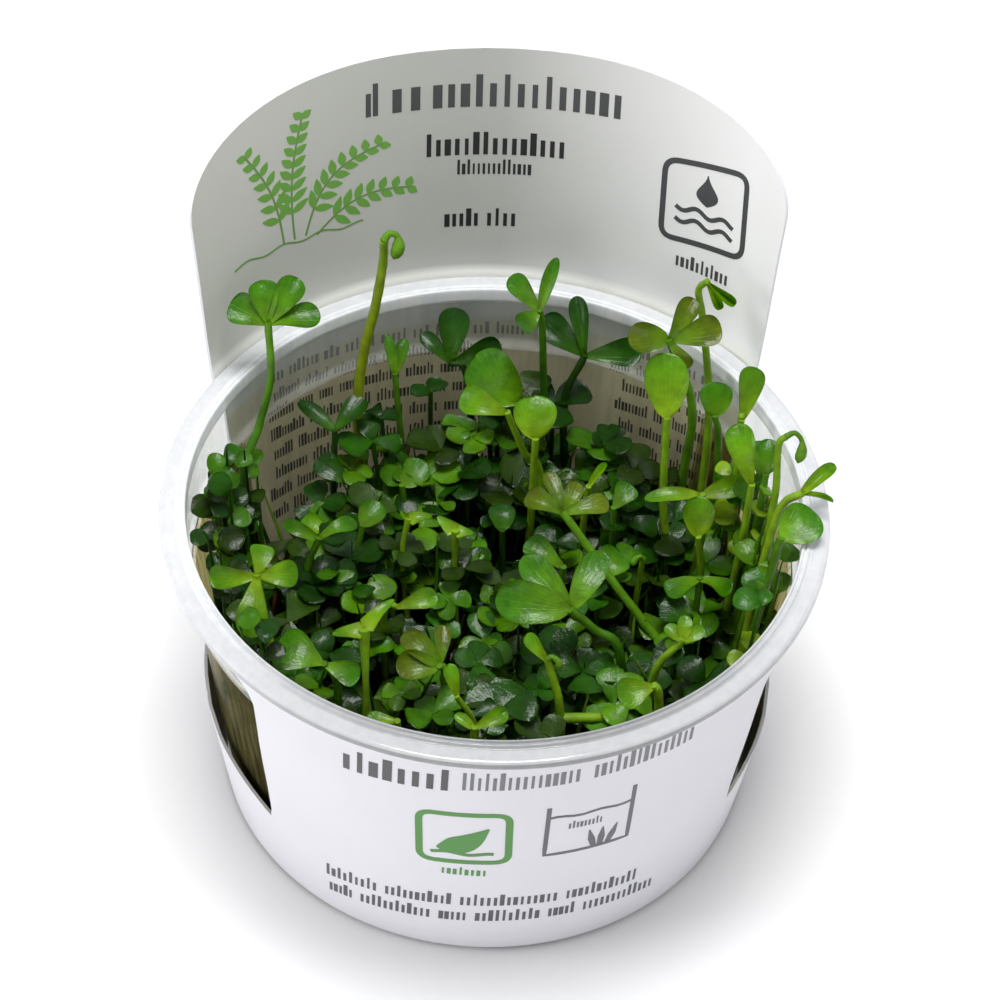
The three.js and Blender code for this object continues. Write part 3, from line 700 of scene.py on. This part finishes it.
def grow_leaflet(growth, hub, step, width, face, tint, outline="round", cup=0.25, arch=0.1, fold=0.0,
                 notch=0.0, twist=0.0, rows=16, cols=10, vary=0.0):
    """A leaflet from its hub to its tip: cup lifts its margins, arch its middle, and fold shuts it in two."""
    hub, step = np.array(hub, float), np.array(step, float)
    length = np.linalg.norm(step)
    along = step / length
    across = unit(np.cross(along, np.array(face, float)))
    normal = np.cross(across, along)
    across, normal = (across * math.cos(twist) + normal * math.sin(twist),
                      normal * math.cos(twist) - across * math.sin(twist))
    draw, square = OUTLINES[outline]
    t = np.linspace(0, 1, rows + 1)
    u = 1 - (1 - t) ** 1.9
    swell = u ** draw * (1 - u ** square) ** 0.5
    half = width / 2 * swell / swell.max() + 0.34 * (1 - u) ** 3 + 0.02
    v = np.sin(np.linspace(-1, 1, cols + 1) * math.pi / 2)
    U, V = np.meshgrid(u, v, indexing="ij")
    H = np.repeat(half[:, None], cols + 1, 1)
    reach = length * (U - notch * 0.3 * np.exp(-(V / 0.3) ** 2) * U ** 6)
    lift = cup * H * V ** 2 + arch * length * np.sin(math.pi * U)
    lift += 0.045 * width * np.sin(7 * U + vary) * V ** 3
    lift += fold * H * np.abs(V) * 1.4
    spread = H * V * (1 - 0.55 * fold)
    top = hub + along * reach[..., None] + across * spread[..., None] + normal * lift[..., None]
    thick = LEAF * (0.35 + 0.65 * (1 - V ** 4))
    under = top - normal * thick[..., None]
    n = (rows + 1) * (cols + 1)
    points = np.vstack([top.reshape(-1, 3), under.reshape(-1, 3)])
    angle = np.arctan2(spread, length * U + 0.35)
    fans = np.stack([angle, U, V], -1).reshape(-1, 3)
    faces = []
    w = cols + 1
    for i in range(rows):
        for j in range(cols):
            a = i * w + j
            faces.append((a, a + 1, a + w + 1, a + w))
            faces.append((n + a, n + a + w, n + a + w + 1, n + a + 1))
    rim = [i * w for i in range(rows + 1)] + [rows * w + j for j in range(1, w)]
    rim += [i * w + cols for i in reversed(range(rows))] + list(reversed(range(1, cols)))
    faces += [(a, b, n + b, n + a) for a, b in zip(rim, rim[1:] + rim[:1])]
    foot_tint, tip_tint = (np.array(t) for t in (tint if np.ndim(tint) == 2 else (tint, tint)))
    blend = np.clip((U - 0.12) / 0.7, 0, 1)[..., None]
    shade = (1 - 0.25 * V ** 8)[..., None]
    top_tint = ((foot_tint * (1 - blend) + tip_tint * blend) * shade).reshape(-1, 3)
    under_tint = 0.8 * top_tint + 0.2 * np.array(seen(120, 150, 60))
    tints = np.hstack([np.vstack([top_tint, under_tint]), np.ones((2 * n, 1))])
    growth.add(points, faces, tints, np.vstack([fans, fans]), 0)


def leafy_skin(name, gloss, wet):
    """The finish of leaves and stalks: the piece's own tints, mottled, under a wet coat."""
    skin, shader = new_finish(
        name, seen(60, 130, 40), gloss, Coat_Weight=wet, Coat_Roughness=0.06, Subsurface_Weight=0.12,
        Subsurface_Radius=(0.35, 0.8, 0.1), Subsurface_Scale=0.001, Specular_IOR_Level=0.22,
    )
    own = add_node(skin, "Attribute", attribute_name="tint")
    place = object_place(skin)
    patch = ramp(skin, cloud(skin, 420, 4, place), 0.3, 0.7, 0.72, 1.25)
    fan = add_node(skin, "Attribute", attribute_name="fan")
    return skin, shader, place, scaled(skin, own.outputs["Color"], patch), fan.outputs["Vector"]


leaf_skin, shader, place, mottled, fan = leafy_skin("leaf_skin", 0.24, 0.04)
fan_parts = add_node(leaf_skin, "SeparateXYZ", {0: fan}).outputs
spokes = times(leaf_skin, fan_parts["X"], 8.5)
saw = add_node(leaf_skin, "Math", {0: spokes, 1: 0.5}, operation="PINGPONG").outputs[0]
vein = add_node(leaf_skin, "MapRange", {0: saw, 2: 0.13, 3: 1.0, 4: 0.0}, interpolation_type="SMOOTHSTEP")
vein = vein.outputs[0]
pale_vein = add_node(leaf_skin, "VectorMath", {0: mottled, 1: (2.1, 1.7, 2.6)}, operation="MULTIPLY")
veined = times(leaf_skin, vein, ramp(leaf_skin, fan_parts["Y"], 0.04, 0.42, 0.85, 0.2))
connect(leaf_skin, mixed(leaf_skin, veined, mottled, pale_vein.outputs[0]), shader)
wrinkle = cloud(leaf_skin, 1300, 4, place)
relief = add_node(leaf_skin, "Math", {0: vein, 1: -0.14, 2: wrinkle}, operation="MULTIPLY_ADD").outputs[0]
raise_bumps(leaf_skin, shader, 0.35, 0.0003, relief)

stalk_skin, shader, _, mottled, fan = leafy_skin("stalk_skin", 0.38, 0.05)
connect(stalk_skin, mottled, shader)
grooves = add_node(stalk_skin, "Mapping", {"Vector": fan, "Scale": (9, 26, 1)}).outputs[0]
raise_bumps(stalk_skin, shader, 0.4, 0.0003, cloud(stalk_skin, 3, 3, grooves))

# Undergrowth: the mat that fills the cup, hundreds of small glossy leaves in twos and threes on short
# stalks, crowded over a dark tangle of old stems and roots, with bare stems pressed to the clear wall.
TUFTS, OPEN_TUFTS, BACK_TUFTS = 190, 120, 70
OLD_STEMS, GREEN_STEMS, ROOTS, WALL_STEMS = 110, 150, 40, 90
LEAF_REACH, OPEN_REACH, MAT_REACH = 38.6, 37, 36
STEM_FOOT, OPEN_FOOT = 11, 30
BED_FOOT, BED_TOP, BED_REACH = 9.4, 16, 40.2
DEEP_GREENS = (seen(20, 54, 4), seen(34, 80, 5), seen(54, 100, 6), seen(34, 56, 6), seen(66, 108, 8))
DARK_GREENS = DEEP_GREENS[:4]
WALL_GREENS = (seen(44, 100, 8), seen(80, 126, 10), seen(112, 144, 22), seen(66, 112, 16))
TANGLE_GREENS = (seen(40, 90, 16), seen(66, 118, 20), seen(98, 136, 28))
WALL_BROWNS = (seen(86, 74, 40), seen(104, 92, 48), seen(58, 76, 34), seen(52, 92, 26))
BROWNS = (seen(96, 58, 30), seen(122, 80, 44), seen(72, 82, 30), seen(124, 52, 18), seen(88, 34, 14))
LEAF_BROWN = seen(66, 38, 12)
dice = random.Random(41)
between = dice.uniform


def tuft(growth, x, y, top, tints, leaf_size):
    """A short stalk with two to four small leaflets."""
    lean = np.array((dice.gauss(0, 0.22), dice.gauss(0, 0.22) - 0.1, 1))
    hub = np.array((x, y, top))
    root = np.array((x - 5 * lean[0] + between(-2, 2), y - 5 * lean[1] + between(-2, 2), 12.0))
    reach = wall_radius(12) - 3
    if np.hypot(*root[:2]) > reach:
        root[:2] *= reach / np.hypot(*root[:2])
    # Painted shade: a tuft's tint is darkened the lower it sits in the mat.
    depth = min(1.1, max(0.16, (top - 15) / 14))
    tint = np.array(dice.choice(tints)) * between(0.7, 1.3) * depth
    middle = (root + hub) / 2 + np.array((between(-1, 1), between(-1, 1), 0))
    stalk_tints = (tint * 0.6, tint * np.array((1.6, 1.3, 0.9)))
    grow_stalk(growth, [root, middle, hub], (0.5, 0.38), stalk_tints, steps=4, sides=6)
    count = dice.choice((2, 3, 3, 4))
    start = between(0, 2 * math.pi)
    for k in range(count):
        a = start + k * 2 * math.pi / max(count, 3) + between(-0.35, 0.35)
        long = leaf_size * between(0.75, 1.2)
        step = np.array((math.cos(a), math.sin(a), between(-0.25, 0.55))) * long
        tip = hub + step
        limit = wall_radius(max(tip[2], 20)) - 0.8
        if np.hypot(*tip[:2]) > limit:
            step[:2] *= 0.35
        grow_leaflet(growth, hub, step, long * between(0.75, 1.05), lean + UP * 0.6,
                     tint * between(0.85, 1.2), dice.choice(("round", "round", "wedge")),
                     cup=between(-0.1, 0.35), arch=between(-0.04, 0.14), rows=6, cols=4, vary=between(0, 6))


def in_mat(reach):
    """A chance place in the mat, as x and y."""
    a, r = between(0, 2 * math.pi), reach * math.sqrt(between(0, 1))
    return r * math.cos(a), r * math.sin(a)


def within_wall(point, room):
    """The point, drawn in where it would lie closer to the wall than the room given."""
    reach = wall_radius(point[2]) - room
    far = np.hypot(*point[:2])
    return np.array((*point[:2] * min(1, reach / far), point[2])) if far > reach else point


def by_wall(turn, z, room, top=COLLAR_BOTTOM):
    """A place this far in from the wall, at an angle round and a height."""
    reach = wall_radius(min(z, top)) - room
    return reach * math.cos(turn), reach * math.sin(turn), z


mat = Growth()
for i in range(TUFTS):
    r = LEAF_REACH * math.sqrt((i + 0.5) / TUFTS)
    a = i * math.pi * (3 - math.sqrt(5))
    x, y = r * math.cos(a) + between(-1.5, 1.5), r * math.sin(a) + between(-1.5, 1.5)
    top = between(17, 28.5)
    tuft(mat, x, y, top, DEEP_GREENS + (LEAF_BROWN,) * (top < 22), between(3.2, 5.4))
leaves_of_mat = mat.make("undergrowth_leaves")
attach(leaves_of_mat, "root")
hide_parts("undergrowth")

tall_mat = Growth()
for i in range(OPEN_TUFTS):
    x, y = in_mat(OPEN_REACH)
    top = OPEN_FOOT + between(0, 12) * (0.4 + 0.6 * max(0, y / OPEN_REACH))
    tuft(tall_mat, x, y, top, DEEP_GREENS, between(3.2, 5.2))
for i in range(BACK_TUFTS):
    x = between(-25, 32)
    y = between(16, math.sqrt(MAT_REACH ** 2 - x * x))
    top = OPEN_FOOT + between(0.3, 1) * (y - 14) * 0.8
    tuft(tall_mat, x, y, top, DARK_GREENS, between(3.4, 5.6))

# Stems at the wall, by degrees round from the front, with how many leaves each may bear.
for low, high, stems, leaves, greens in (
        (58, 108, 50, (0, 1, 1, 2), WALL_GREENS), (72, 102, 80, (0,), WALL_GREENS),
        (-122, -90, 50, (0, 1, 1, 2), DARK_GREENS), (-88, -50, 60, (0, 1), DARK_GREENS)):
    for i in range(stems):
        a, top, room = math.radians(between(low, high) - 90), between(32, 53), between(1.2, 5)
        tint = np.array(dice.choice(greens)) * between(0.75, 1.4)
        turn = a + between(-0.12, 0.12)
        route = [by_wall(w, z, room, 44)
                 for w, z in ((turn, STEM_FOOT), ((a + turn) / 2, top / 2 + 5), (a, top))]
        grow_stalk(tall_mat, route, (0.6, 0.5, 0.42, 0.12), (tint * 0.7, tint), steps=4, sides=6)
        for k in range(dice.choice(leaves)):
            w, long = between(0, 2 * math.pi), between(2.6, 4.6)
            step = (math.cos(w) - 0.5 * math.cos(a), math.sin(w) - 0.5 * math.sin(a), between(0, 0.8))
            grow_leaflet(tall_mat, route[-1], unit(np.array(step)) * long, long * 0.85, (0, -0.5, 0.8), tint,
                         "round", cup=between(0, 0.3), rows=7, cols=5)
tall_leaves = tall_mat.make("undergrowth_tall_leaves")
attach(tall_leaves, "root")


def loose_route(stray, low, high, bow):
    """A chance route up through the mat: its foot, a middle that bows, and a top that strays from it."""
    root = np.array((*in_mat(MAT_REACH), STEM_FOOT), float)
    far = within_wall(root + np.array((stray(), stray(), between(low, high))), 2)
    middle = (root + far) / 2 + np.array((between(-2, 2), between(-2, 2), between(0, bow)))
    return [root, within_wall(middle, 2), far]


tangle = Growth()
for i in range(OLD_STEMS):
    route = loose_route(lambda: between(-9, 9), 8, 17, 4)
    grow_stalk(tangle, route, (0.45, 0.35, 0.1), dice.choice(BROWNS), steps=4, sides=6)
for i in range(GREEN_STEMS):
    route = loose_route(lambda: dice.gauss(0, 6), 17, 29, 3)
    tint = np.array(dice.choice(TANGLE_GREENS)) * between(0.5, 1)
    grow_stalk(tangle, route, (0.5, 0.42, 0.34, 0.08), (tint * 0.4, tint), steps=4, sides=6)
for i in range(ROOTS):
    x, y = in_mat(MAT_REACH)
    route = [(x, y, 9.2), (x + between(-2, 2), y + between(-2, 2), 6), (x + between(-3, 3), y, 2.6)]
    route = [within_wall(np.array(q, float), 1.5) for q in route]
    grow_stalk(tangle, route, (0.3, 0.15), BROWNS[1], steps=3, sides=5)
for i in range(WALL_STEMS):
    a = math.radians(dice.choice((between(-84, -48), between(44, 80), between(-180, 180))) - 90)
    low, high = between(9.6, 13), between(22, 33)
    gap, sway = between(0.9, 2.6), between(-0.05, 0.05)
    route = [by_wall(a + sway * k, z, gap) for k, z in enumerate(np.linspace(low, high, 4))]
    grow_stalk(tangle, route, (0.75, 0.6, 0.45, 0.1), dice.choice(WALL_BROWNS), steps=4, sides=6)

# The bed under them all, one dark lumpy mass of old leaves and roots that closes the view down.
bed = [(0, BED_FOOT), (BED_REACH - 0.6, BED_FOOT)]
bed += [(BED_REACH - 40 * k / 30, BED_TOP) for k in range(30)] + [(0, BED_TOP)]
bed_points, bed_faces = turned(bed, 90)
bed_points = np.array(bed_points, float)
for spot in bed_points:
    if spot[2] > BED_FOOT + 1:
        place = Vector((spot[0] * 0.35, spot[1] * 0.35, 2))
        spot[2] += 3.2 * noise(place) + 1.6 * noise(place * 2.7)
bed_tints = np.tile((*seen(22, 24, 10), 1), (len(bed_points), 1))
tangle.add(bed_points, bed_faces, bed_tints, np.zeros((len(bed_points), 3)), 1)
tangle_piece = tangle.make("undergrowth_tangle")
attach(tangle_piece, "root")

# Fronds: each is one stalk that grew up out of the mat and opens at its top into the leaflets of a water
# clover. Young ones are yellow-green and thin, old ones deep green, and a few blush olive and brown.
ROOT = 9.3
LEVEL, TIPPED, FACING = (0, -0.1, 1), (-0.05, -0.45, 0.9), (-0.1, -0.75, 0.66)
TONES = {
    "bright": (seen(110, 143, 12), seen(76, 126, 4), seen(118, 156, 26)),
    "green": (seen(88, 132, 12), seen(54, 108, 5), seen(78, 124, 18)),
    "deep": (seen(48, 92, 8), seen(24, 66, 4), seen(32, 66, 10)),
    "olive": (seen(80, 118, 6), seen(78, 94, 6), seen(88, 136, 18)),
}


def grow_frond(name, tone, face, stem, leaflets, stalk, habit=None):
    """A frond from its stem's points and its leaflets' steps, widths and forms, kept under its own name.

    Its habit may add a hook of steps that ends in a bud, a runner, a flare to the stalk's top, or the
    shade of its foot."""
    habit = habit or {}
    hook, runner, bud = habit.get("hook"), habit.get("runner"), habit.get("bud", 0.9)
    growth = Growth()
    chance = random.Random(name)
    foot_tint, tip_tint, stalk_tint = (np.array(t) for t in TONES[tone])
    plain_foot = (0.9, 0.95, 0.8) if tone in ("bright", "olive") else (0.4, 0.7, 0.5)
    foot_shade = habit.get("foot_shade", plain_foot)
    stem = [np.array((*p, ROOT)[:3], float) for p in stem]
    widths = (stalk * 1.15, stalk * 1.05, stalk * 0.95, stalk * 0.88, stalk * 0.85 * habit.get("flare", 1.0))
    grow_stalk(growth, stem, widths, (stalk_tint * foot_shade, stalk_tint))
    hub = stem[-1]
    before = unit(hub - stem[-2])
    for dx, dy, dz, width, outline, *own in leaflets:
        light = chance.uniform(0.85, 1.15)
        form = {"cup": chance.uniform(0.12, 0.32), "arch": chance.uniform(0.05, 0.14),
                "vary": chance.uniform(0, 6), "twist": chance.uniform(-0.25, 0.25)}
        form.update(*own)
        tints = foot_tint * light, tip_tint * light
        grow_leaflet(growth, hub - before * 0.3, (dx, dy, dz), width, face, tints, outline, **form)
    if hook:
        route = [hub] + [hub + np.array(p, float) for p in hook]
        radii = [stalk * 0.85, stalk * 0.7] + [stalk * 0.6] * (len(route) - 3)
        radii += [bud * 0.9, bud, bud * 0.75, 0.1]
        last = route[-1] - route[-2]
        route += [route[-1] + last * 0.6]
        grow_stalk(growth, route, radii, tip_tint * 0.8 + stalk_tint * 0.2, steps=9)
    if runner:
        grow_stalk(growth, runner, (stalk * 1.1, stalk * 0.9), stalk_tint)
    piece = growth.make("frond_" + name)
    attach(piece, "root")
    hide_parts(name)


# Croziers: fronds still young, each with its tip rolled over and its leaflets shut in a drooping bud, on
# a thin soft stalk of its own that is rooted in the jelly.
for frond in (
    ("crozier_tall", "bright", FACING,
     [(-17, 31), (-18, 34, 45), (-15, 35, 65), (-14, 36, 72), (-14, 35, 77)],
     [], 0.8,
     {"hook": [(0.9, 0.4, 1.0), (2, 0.2, 0.6), (2.2, -0.5, -0.8), (1.7, -1, -2)], "bud": 1.05,
      "foot_shade": (1.5, 0.95, 1)}),
    ("crozier_right_back", "bright", FACING,
     [(34, 16), (36, 20, 46), (35, 27, 63), (34, 29, 69), (35, 28, 72)],
     [(4.2, -2.6, -2.6, 2.6, "wedge", {"fold": 0.7, "arch": -0.1}),
      (2, -2.8, -3.2, 2.2, "wedge", {"fold": 0.6})], 0.62),
    ("crozier_far_right", "bright", FACING,
     [(38.5, -7), (41, -4, 45), (42, -2, 56), (42, 0, 64), (43, 0, 66)],
     [], 0.6,
     {"hook": [(1.2, 0, 0.6), (2.2, -0.6, -0.4), (2.2, -1.6, -1.6), (1.8, -2.2, -2.6)], "bud": 0.85}),
    ("small_crozier", "bright", FACING, [(22, 1), (23, 0, 35), (23, -1, 42)],
     [], 0.5, {"hook": [(-0.5, -0.2, 0.7), (-1.2, -0.4, 0.4), (-1.5, -0.7, -0.2)], "bud": 0.55}),
    ("hooked_sprout_back", "bright", TIPPED, [(15, 14), (16, 11, 46)],
     [(3, 3, 2, 1.7, "blade", {"fold": 0.5})], 0.6),
):
    grow_frond(*frond)

# Clovers: fronds in full leaf, four thin leaflets spread about the stalk's top like a cross or a fan.
# Their stalks lean out from the crowd before they rise, and are rooted in the jelly too.
for frond in (
    ("clover_tall_left", "green", FACING,
     [(-33, 12), (-37, 18, 41), (-34, 24, 50), (-32, 26, 58), (-32, 30, 66)],
     [(-5.6, 2.6, 2.2, 5, "wedge"), (-0.6, 4, 5.4, 4.6, "wedge", {"notch": 0.3}), (5, 4, 5.4, 4.4, "wedge"),
      (8, 0, 1.2, 4.2, "wedge", {"twist": 0.5})], 0.68),
    ("clover_front_left", "bright", TIPPED, [(-31, -11), (-34, -13, 37), (-35, -11, 44), (-36, -9, 52)],
     [(-7, 1, -0.4, 3.6, "wedge", {"twist": 0.5}), (1, 4.4, 2, 3.6, "wedge"),
      (6, 0.3, 0, 4, "wedge", {"twist": -0.3}), (-1.4, -8.4, -4, 4.6, "wedge", {"notch": 0.6})], 0.62),
    ("olive_clover_right", "olive", FACING, [(31, 21), (33, 21, 38), (33, 21, 53), (29, 24, 64)],
     [(-6.2, 1.4, 0.6, 4.8, "round"), (4, 4, 5, 3.4, "wedge"), (8, 0.4, 2, 4.8, "wedge"),
      (3, -3, -3, 2.4, "wedge")], 0.75),
    ("olive_lobed_leaf", "olive", TIPPED,
     [(27, -14), (26, -9, 28), (23, -6, 33), (19, -3, 38), (11, 4, 48)],
     [(-2, 6, 3, 2.6, "wedge"), (2.6, 4, 2.4, 2.8, "wedge"), (7, 1, 0.8, 3.4, "wedge"),
      (-5.6, 3, 1, 4.2, "wedge", {"fold": 0.2})], 0.74),
):
    grow_frond(*frond)

# Trios: fronds of three thin leaflets, some set in a fan towards the light and others closed up like a
# flower, each grown from the top of one stalk.
for frond in (
    ("three_leaf_front", "green", TIPPED, [(19, -15), (18, -15, 36), (14, -14, 41), (10, -14, 46)],
     [(-11, 3, 0.4, 6.4, "round"), (-6.4, 8.6, 3, 4.6, "blade"), (5.6, 7.8, 4, 4.4, "blade", {"cup": 0.1})],
     0.75),
    ("trio_back", "deep", FACING, [(18, 29), (15, 33, 40), (18, 34, 52)],
     [(-6.4, 5, 4, 4.8, "wedge"), (-1, 6, 7.4, 3.4, "wedge", {"fold": 0.2}), (9, -0.4, 1, 4.6, "wedge")],
     0.7),
    ("sprig_back_centre", "green", FACING, [(14, 36), (11, 33, 55), (10, 32, 64)],
     [(3, 5, 6.4, 2.4, "blade", {"fold": 0.2}), (-4.2, 4, 4, 3.4, "wedge"),
      (-3.4, -1.6, -1.6, 3.6, "wedge")], 0.62),
    ("dark_clover_back", "deep", FACING, [(2, 34), (0, 38, 43), (-3, 39, 47)],
     [(1, 5, 7.4, 5, "wedge"), (-4.4, 3.4, 3.6, 2.6, "wedge"), (8, 1, 3, 4, "wedge")], 0.6),
    ("olive_pair_front", "olive", TIPPED, [(-9, -14), (-9, -19, 38), (-10, -20, 42)],
     [(-5, 5, 2, 3.8, "round"), (-6.4, 0.6, 0, 4.4, "round"), (1, 5.4, 3, 2.6, "wedge")], 0.6),
    ("three_lobe_sprout", "bright", TIPPED, [(23, -18), (22, -21, 37), (26, -21, 46)],
     [(-2.4, 2, 1, 2.2, "round"), (0.8, 3, 2, 2.2, "round"), (3.4, 1, 1, 2.2, "round")], 0.68),
):
    grow_frond(*frond)

# Pairs: fronds of two leaflets that face each other across the top of the stalk, narrow and horn-like
# where they are young and broad where they are grown.
for frond in (
    ("blades_back_left", "green", FACING, [(-9, 31), (-12, 36, 48)],
     [(-1, 4, 5, 1.7, "blade"), (2, 4, 4, 2.2, "blade")], 0.6),
    ("pair_back_left", "deep", TIPPED, [(-23, 25), (-22, 29, 43)],
     [(-5.4, 5, 2, 2.6, "blade"), (5, 4, 3, 3.8, "wedge")], 0.6),
    ("pointed_pair_right", "bright", TIPPED, [(31, 5), (34, 7, 42), (33, 7, 47)],
     [(-9, 0, 0, 2.4, "blade"), (7.4, 1.4, 1, 3.4, "blade")], 0.62),
    ("pair_over_rim", "bright", TIPPED,
     [(37, -14), (38, -11, 34), (40, -8, 47), (42, -6, 57), (45, -6, 60)],
     [(5.6, 3.6, 2, 2.4, "blade", {"fold": 0.2}), (4.8, -1, -1, 1.1, "blade", {"fold": 0.5})], 0.72,
     {"foot_shade": (1.1, 0.95, 1)}),
    ("roof_leaf_pair", "green", LEVEL, [(31, -7), (32, -2, 38)],
     [(-5.4, -3, 0, 4.2, "wedge"), (4.4, -3, -0.4, 4, "wedge", {"notch": 0.5})], 0.6),
    ("big_leaf_front_left", "green", TIPPED, [(-25, -17), (-25, -20, 38), (-27, -20, 44)],
     [(-7, 3, 1, 7, "wedge"), (5, -2, -1, 3.8, "wedge")], 0.65),
    ("arrow_leaf_front", "bright", TIPPED, [(-21, -20), (-21, -23, 35), (-21, -19, 50)],
     [(-4.6, 0.6, -1, 2.1, "horn"), (4.6, 3.6, 2.4, 2.2, "horn")], 0.6, {"flare": 1.8}),
    ("forked_sprout_middle", "bright", TIPPED, [(-4, -1), (-5, 5, 30), (-5, 7, 42)],
     [(-2.6, 2.2, 1.2, 2, "horn"), (2.8, -0.2, -0.4, 1.8, "horn")], 0.48, {"flare": 1.8}),
    ("flag_sprout", "bright", TIPPED, [(-11, 5), (-13, 8, 34), (-12, 10, 42)],
     [(3.8, 0.4, 0.2, 1.8, "horn"), (-1, 1, 1, 1.1, "blade", {"fold": 0.4})], 0.48, {"flare": 1.4}),
    ("forked_sprout_front", "bright", TIPPED, [(-6, -30), (-6, -32, 42)],
     [(-2.6, 2, 1, 1.6, "blade"), (5, 2, 1, 2.6, "wedge", {"notch": 0.7})], 0.6),
):
    grow_frond(*frond)

# Single leaves: one broad leaflet on its stalk, the others of the frond not yet open or already lost.
# The curved leaf at the left has a narrow second one.
for frond in (
    ("big_leaf_back", "green", FACING, [(11, 27), (8, 30, 40), (7, 29, 47)],
     [(-6.4, 5.4, 6, 8.4, "round", {"cup": 0.12})], 0.62),
    ("leaf_left_back", "deep", FACING, [(-37, 9), (-39, 13, 43)],
     [(-1.4, 5, 5.4, 4, "round")], 0.6),
    ("veined_leaf_back_left", "deep", TIPPED, [(-18, 20), (-20, 23, 37)],
     [(-5, 4, 2, 4.2, "wedge")], 0.6),
    ("leaf_back_left_low", "green", TIPPED, [(-9, 18), (-12, 21, 38)],
     [(4, 3, 2, 4.2, "round")], 0.6),
    ("spoon_leaf", "bright", FACING, [(8, 20), (8, 16, 30), (8, 16, 52)],
     [(0.2, 4.3, 5.3, 6.6, "round", {"cup": 0.1, "twist": 0.0})], 0.68),
    ("bright_leaf_middle", "bright", TIPPED, [(11, 13), (10, 20, 38), (7, 20, 45), (4, 20, 54)],
     [(-7, 3.4, 1, 4.6, "wedge", {"twist": 0.3})], 0.62),
    ("folded_leaf_light", "bright", FACING, [(26, 8), (29, 10, 28), (28, 12, 42), (28, 15, 56)],
     [(0, 7.2, 7.4, 6.8, "round", {"cup": 0.3})], 0.72),
    ("round_leaf_right", "green", FACING, [(37, 10), (37, 16, 46), (36, 17, 54)],
     [(0, 3.2, 4.4, 5.2, "round")], 0.62),
    ("tall_leaf_right", "bright", FACING, [(39, 4), (39, 12, 54), (39, 12, 58)],
     [(2, 5, 6.4, 4.2, "wedge", {"notch": 0.3})], 0.62),
    ("wall_leaf_right", "green", FACING, [(38.5, 0), (41, 2, 48), (41.5, 3, 55)],
     [(0.8, 3.8, 4, 3, "wedge")], 0.6),
    ("veined_leaf_right", "bright", FACING, [(35, -3), (38, 0, 36), (38.5, 0, 46), (39, 1, 55)],
     [(-2, 6, 7.4, 4.4, "wedge")], 0.64),
    ("round_leaf_right_low", "bright", FACING, [(32, -2), (33, 2, 33), (32, 2, 43)],
     [(0, 4, 5, 4.8, "round")], 0.62),
    ("round_leaf_far_right", "green", TIPPED, [(35, -18), (38, -15, 38), (41, -12, 57)],
     [(5.8, 3, 1.8, 6.6, "round", {"cup": 0.1})], 0.68),
    ("leaf_right_of_middle", "green", TIPPED, [(21, 10), (20, 10, 42)],
     [(3, 3, 2, 3.8, "wedge")], 0.6),
    ("glossy_round_leaf", "deep", TIPPED, [(29, -12), (30, -7, 35)],
     [(-4.4, 2, 1, 5.2, "round")], 0.6),
    ("round_leaf_middle", "green", TIPPED, [(17, 2), (17, 0, 38)],
     [(3.4, 3.4, 1, 5.2, "round")], 0.6),
    ("shaded_leaf_middle", "green", TIPPED, [(10, 1), (11, 0, 40)],
     [(-5.4, 4, 2, 4, "wedge")], 0.6),
    ("dark_round_leaf", "deep", TIPPED, [(4, 10), (3, 12, 36)],
     [(0, 4, 2, 4.2, "round")], 0.55),
    ("round_leaf_small", "deep", TIPPED, [(0, 4), (-1, 7, 33)],
     [(0, 3, 2, 3.6, "round")], 0.5),
    ("leaf_left_of_middle", "green", TIPPED, [(-18, 2), (-20, 9, 31), (-19, 11, 40)],
     [(3, 3, 2, 4.2, "round")], 0.55),
    ("light_leaf_left", "bright", TIPPED, [(-26, 10), (-24, 13, 36)],
     [(-4, 3, 1, 3.2, "wedge")], 0.55),
    ("curved_leaf_left", "green", TIPPED, [(-25, -2), (-28, 6, 32), (-26, 7, 42)],
     [(6, 2, 1, 2.7, "wedge", {"arch": 0.2}), (-5.2, 3, 1, 2.2, "blade", {"arch": 0.2})], 0.62),
    ("low_leaf_far_left", "bright", FACING, [(-37, 1), (-40, 4, 42)],
     [(-1, 3, 4, 2.6, "round")], 0.6),
    ("small_leaf_left_of_middle", "bright", TIPPED, [(-16, -6), (-17, -6, 38), (-15, -8, 42)],
     [(6, 1, 1, 3.2, "wedge", {"notch": 0.4})], 0.55),
    ("round_leaf_front_right", "bright", TIPPED, [(24, -24), (22, -27, 39), (21, -27, 43)],
     [(-5.4, -1, -1, 4.8, "wedge")], 0.72),
    ("stem_leaf_front", "bright", FACING, [(-3, -23), (-5, -26, 34), (-8, -26, 42)],
     [(-1, 3, 4, 2.2, "wedge")], 0.5),
    ("light_leaf_front", "bright", LEVEL, [(-15, -27), (-17, -30, 42)],
     [(-4.4, 1, 0, 2.3, "wedge")], 0.6),
):
    grow_frond(*frond)

# Runner: a young stem that creeps to the right along the front wall from beside a curled sprout, as soft
# and thin as the stalk it comes from.
for frond in (
    ("runner_front", "bright", FACING, [(8, -22), (8, -24, 33), (6, -21, 43)],
     [(-3, 3, 3, 2.2, "wedge")], 0.75,
     {"hook": [(0.6, 0, 0.5), (1.4, -0.5, 0.1), (1.6, -1, -0.6)], "bud": 0.62,
      "runner": [(7, -24, 33), (12, -24.4, 33.2), (17, -24, 32.5)]}),
):
    grow_frond(*frond)
